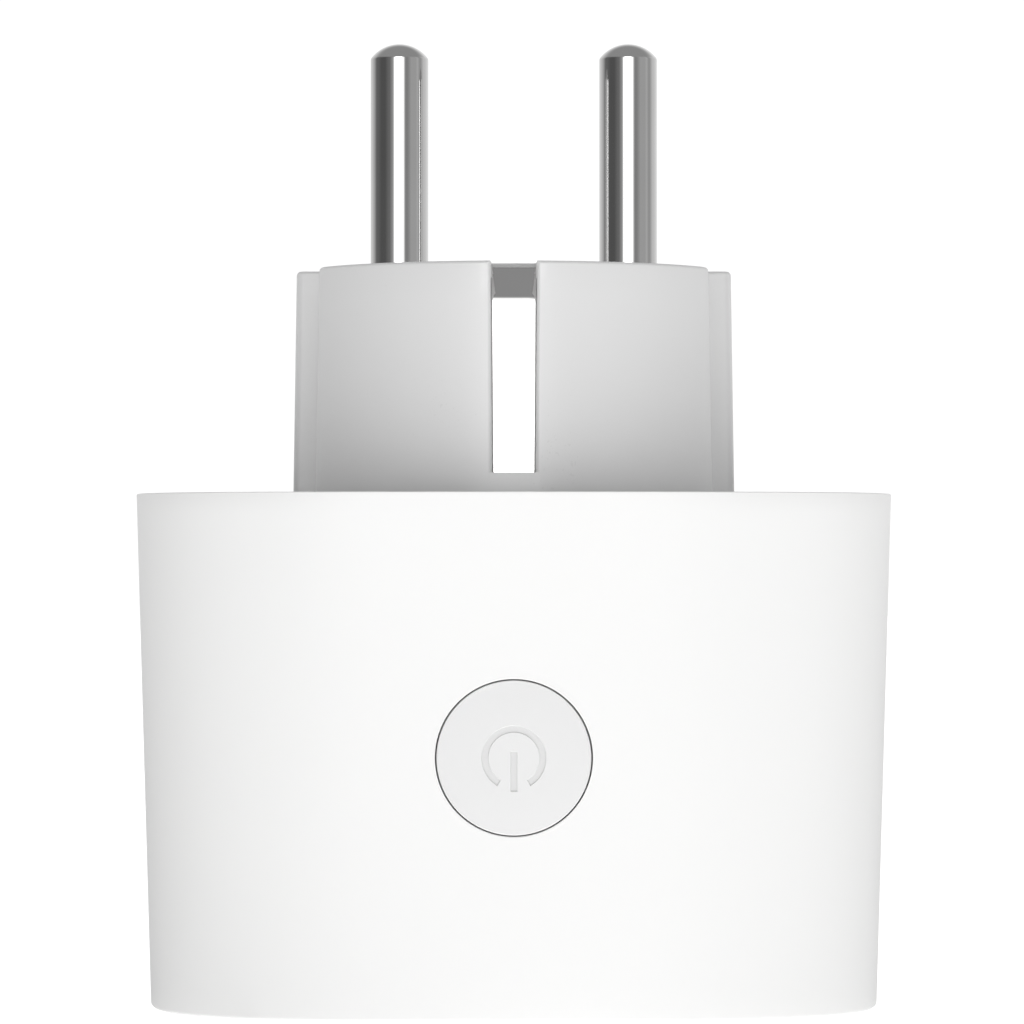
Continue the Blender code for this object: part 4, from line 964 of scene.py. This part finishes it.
def makeStudio():
    world = bpy.data.worlds.new("studio")
    world.use_nodes = True
    bpy.context.scene.world = world
    tree = world.node_tree
    tree.nodes.clear()
    ray = tree.nodes.new("ShaderNodeTexCoord").outputs["Generated"]
    parted = wire(tree, "ShaderNodeSeparateXYZ", {0: ray}).outputs
    turn = maths(tree, "ARCTAN2", parted[0], maths(tree, "MULTIPLY", parted[1], -1.0))
    share = maths(tree, "ADD", maths(tree, "DIVIDE", turn, 2 * math.pi), 0.5)
    top = max(level for _, _, level in studioPanels.values())
    edges = [(degrees / 360 + 0.5, level / top) for low, high, level in studioPanels.values()
             for degrees in (low, high)]
    ramp = wire(tree, "ShaderNodeValToRGB", {"Fac": share})
    stops = ramp.color_ramp.elements
    for i, (position, level) in enumerate(edges):
        ends = {0: 0, len(edges) - 1: -1}
        stop = stops[ends[i]] if i in ends else stops.new(position)
        stop.color = (level, level, level, 1.0)
    ring = maths(tree, "MULTIPLY", ramp.outputs["Color"], top)
    lift = ranged(tree, parted[2], *studio["ringTop"], kind="SMOOTHSTEP")
    skyPart = maths(tree, "MULTIPLY", lift, studio["glossSky"])
    gloss = maths(tree, "ADD", maths(tree, "MULTIPLY", ring, maths(tree, "SUBTRACT", 1.0, lift)), skyPart)
    dim = ranged(tree, parted[2], *studio["skyDim"], 1.0, studio["skyLevel"], kind="SMOOTHSTEP")
    panel = ranged(tree, parted[2], *studio["overheadEdge"], 0.0, studio["overhead"], kind="SMOOTHSTEP")
    soft = maths(tree, "ADD", maths(tree, "MULTIPLY", sideGlow(tree, parted[0], parted[1], skyGlow), dim), panel)
    light = tree.nodes.new("ShaderNodeLightPath").outputs
    level = wire(tree, "ShaderNodeMix", {"Factor": light["Is Glossy Ray"], "A": soft, "B": gloss}, data_type="FLOAT")
    seen = wire(tree, "ShaderNodeMix", {
        "Factor": light["Is Camera Ray"], "A": level.outputs[0], "B": studio["backWhite"],
    }, data_type="FLOAT")
    lamp = wire(tree, "ShaderNodeBackground", {"Color": (1.0, 1.0, 1.0, 1.0), "Strength": seen.outputs[0]})
    result = tree.nodes.new("ShaderNodeOutputWorld")
    tree.links.new(lamp.outputs[0], result.inputs[0])


floorGlow = dict(round=0.7, front=0.72, right=0.12)
pale = dict(size=6.0, drop=0.00002, paint=0.5, roughness=0.9, seen=0.94, sheen=0.5, contactShadeReach=(0.02, 0.14), contactShadeLevel=0.84)


def makeFloor():
    # a pale floor; its glow towards the object is painted bounce light that follows the studio's soft light, with
    # painted contact shade darker near the object
    half = pale["size"] / 2
    mesh = bpy.data.meshes.new("floor")
    mesh.from_pydata([(sx * half, sy * half, 0.0) for sx, sy in quarters], [], [(0, 1, 2, 3)])
    floor = newObject("floor", mesh)
    floor.location.z = -pale["drop"]
    material, tree, shader = startMaterial("paleFloor")
    shader.inputs["Base Color"].default_value = (pale["paint"],) * 3 + (1.0,)
    shader.inputs["Roughness"].default_value = pale["roughness"]
    shader.inputs["Specular IOR Level"].default_value = 0.0
    shader.inputs["Emission Color"].default_value = (1.0, 1.0, 1.0, 1.0)
    place = objectPlace(tree)
    way = wire(tree, "ShaderNodeVectorMath", {0: place}, operation="NORMALIZE").outputs[0]
    parted = wire(tree, "ShaderNodeSeparateXYZ", {0: way}).outputs
    light = tree.nodes.new("ShaderNodeLightPath").outputs
    reach = wire(tree, "ShaderNodeVectorMath", {0: place}, operation="LENGTH").outputs["Value"]
    # painted contact shade: the glow that lights the object from below is darker close to the object, fading out by 14
    # cm
    near = ranged(tree, reach, *pale["contactShadeReach"], pale["contactShadeLevel"], 1.0)
    soft = maths(tree, "MULTIPLY", sideGlow(tree, parted[0], parted[1], floorGlow), near)
    dull = maths(tree, "SUBTRACT", 1.0, maths(tree, "MULTIPLY", light["Is Glossy Ray"], 1.0 - pale["sheen"]))
    glow = wire(tree, "ShaderNodeMix", {
        "Factor": light["Is Camera Ray"], "A": maths(tree, "MULTIPLY", soft, dull), "B": pale["seen"],
    }, data_type="FLOAT")
    tree.links.new(glow.outputs[0], shader.inputs["Emission Strength"])
    mesh.materials.append(material)


camera = dict(distance=0.43, height=0.03625, side=-0.00015, lens=182.0, sensor=36.0, riseDeg=0.542)


def makeCamera():
    data = bpy.data.cameras.new("camera")
    data.lens = camera["lens"]
    data.sensor_width = camera["sensor"]
    data.clip_start = 0.01
    data.clip_end = 50.0
    made = bpy.data.objects.new("camera", data)
    bpy.context.scene.collection.objects.link(made)
    made.location = (camera["side"], -camera["distance"], camera["height"])
    made.rotation_euler = (math.radians(90 + camera["riseDeg"]), 0.0, 0.0)
    bpy.context.scene.camera = made


makeStudio()
makeFloor()
makeCamera()
bpy.context.scene.view_settings.view_transform = "Standard"
bpy.context.scene.cycles.use_denoising = True
print("studio set")
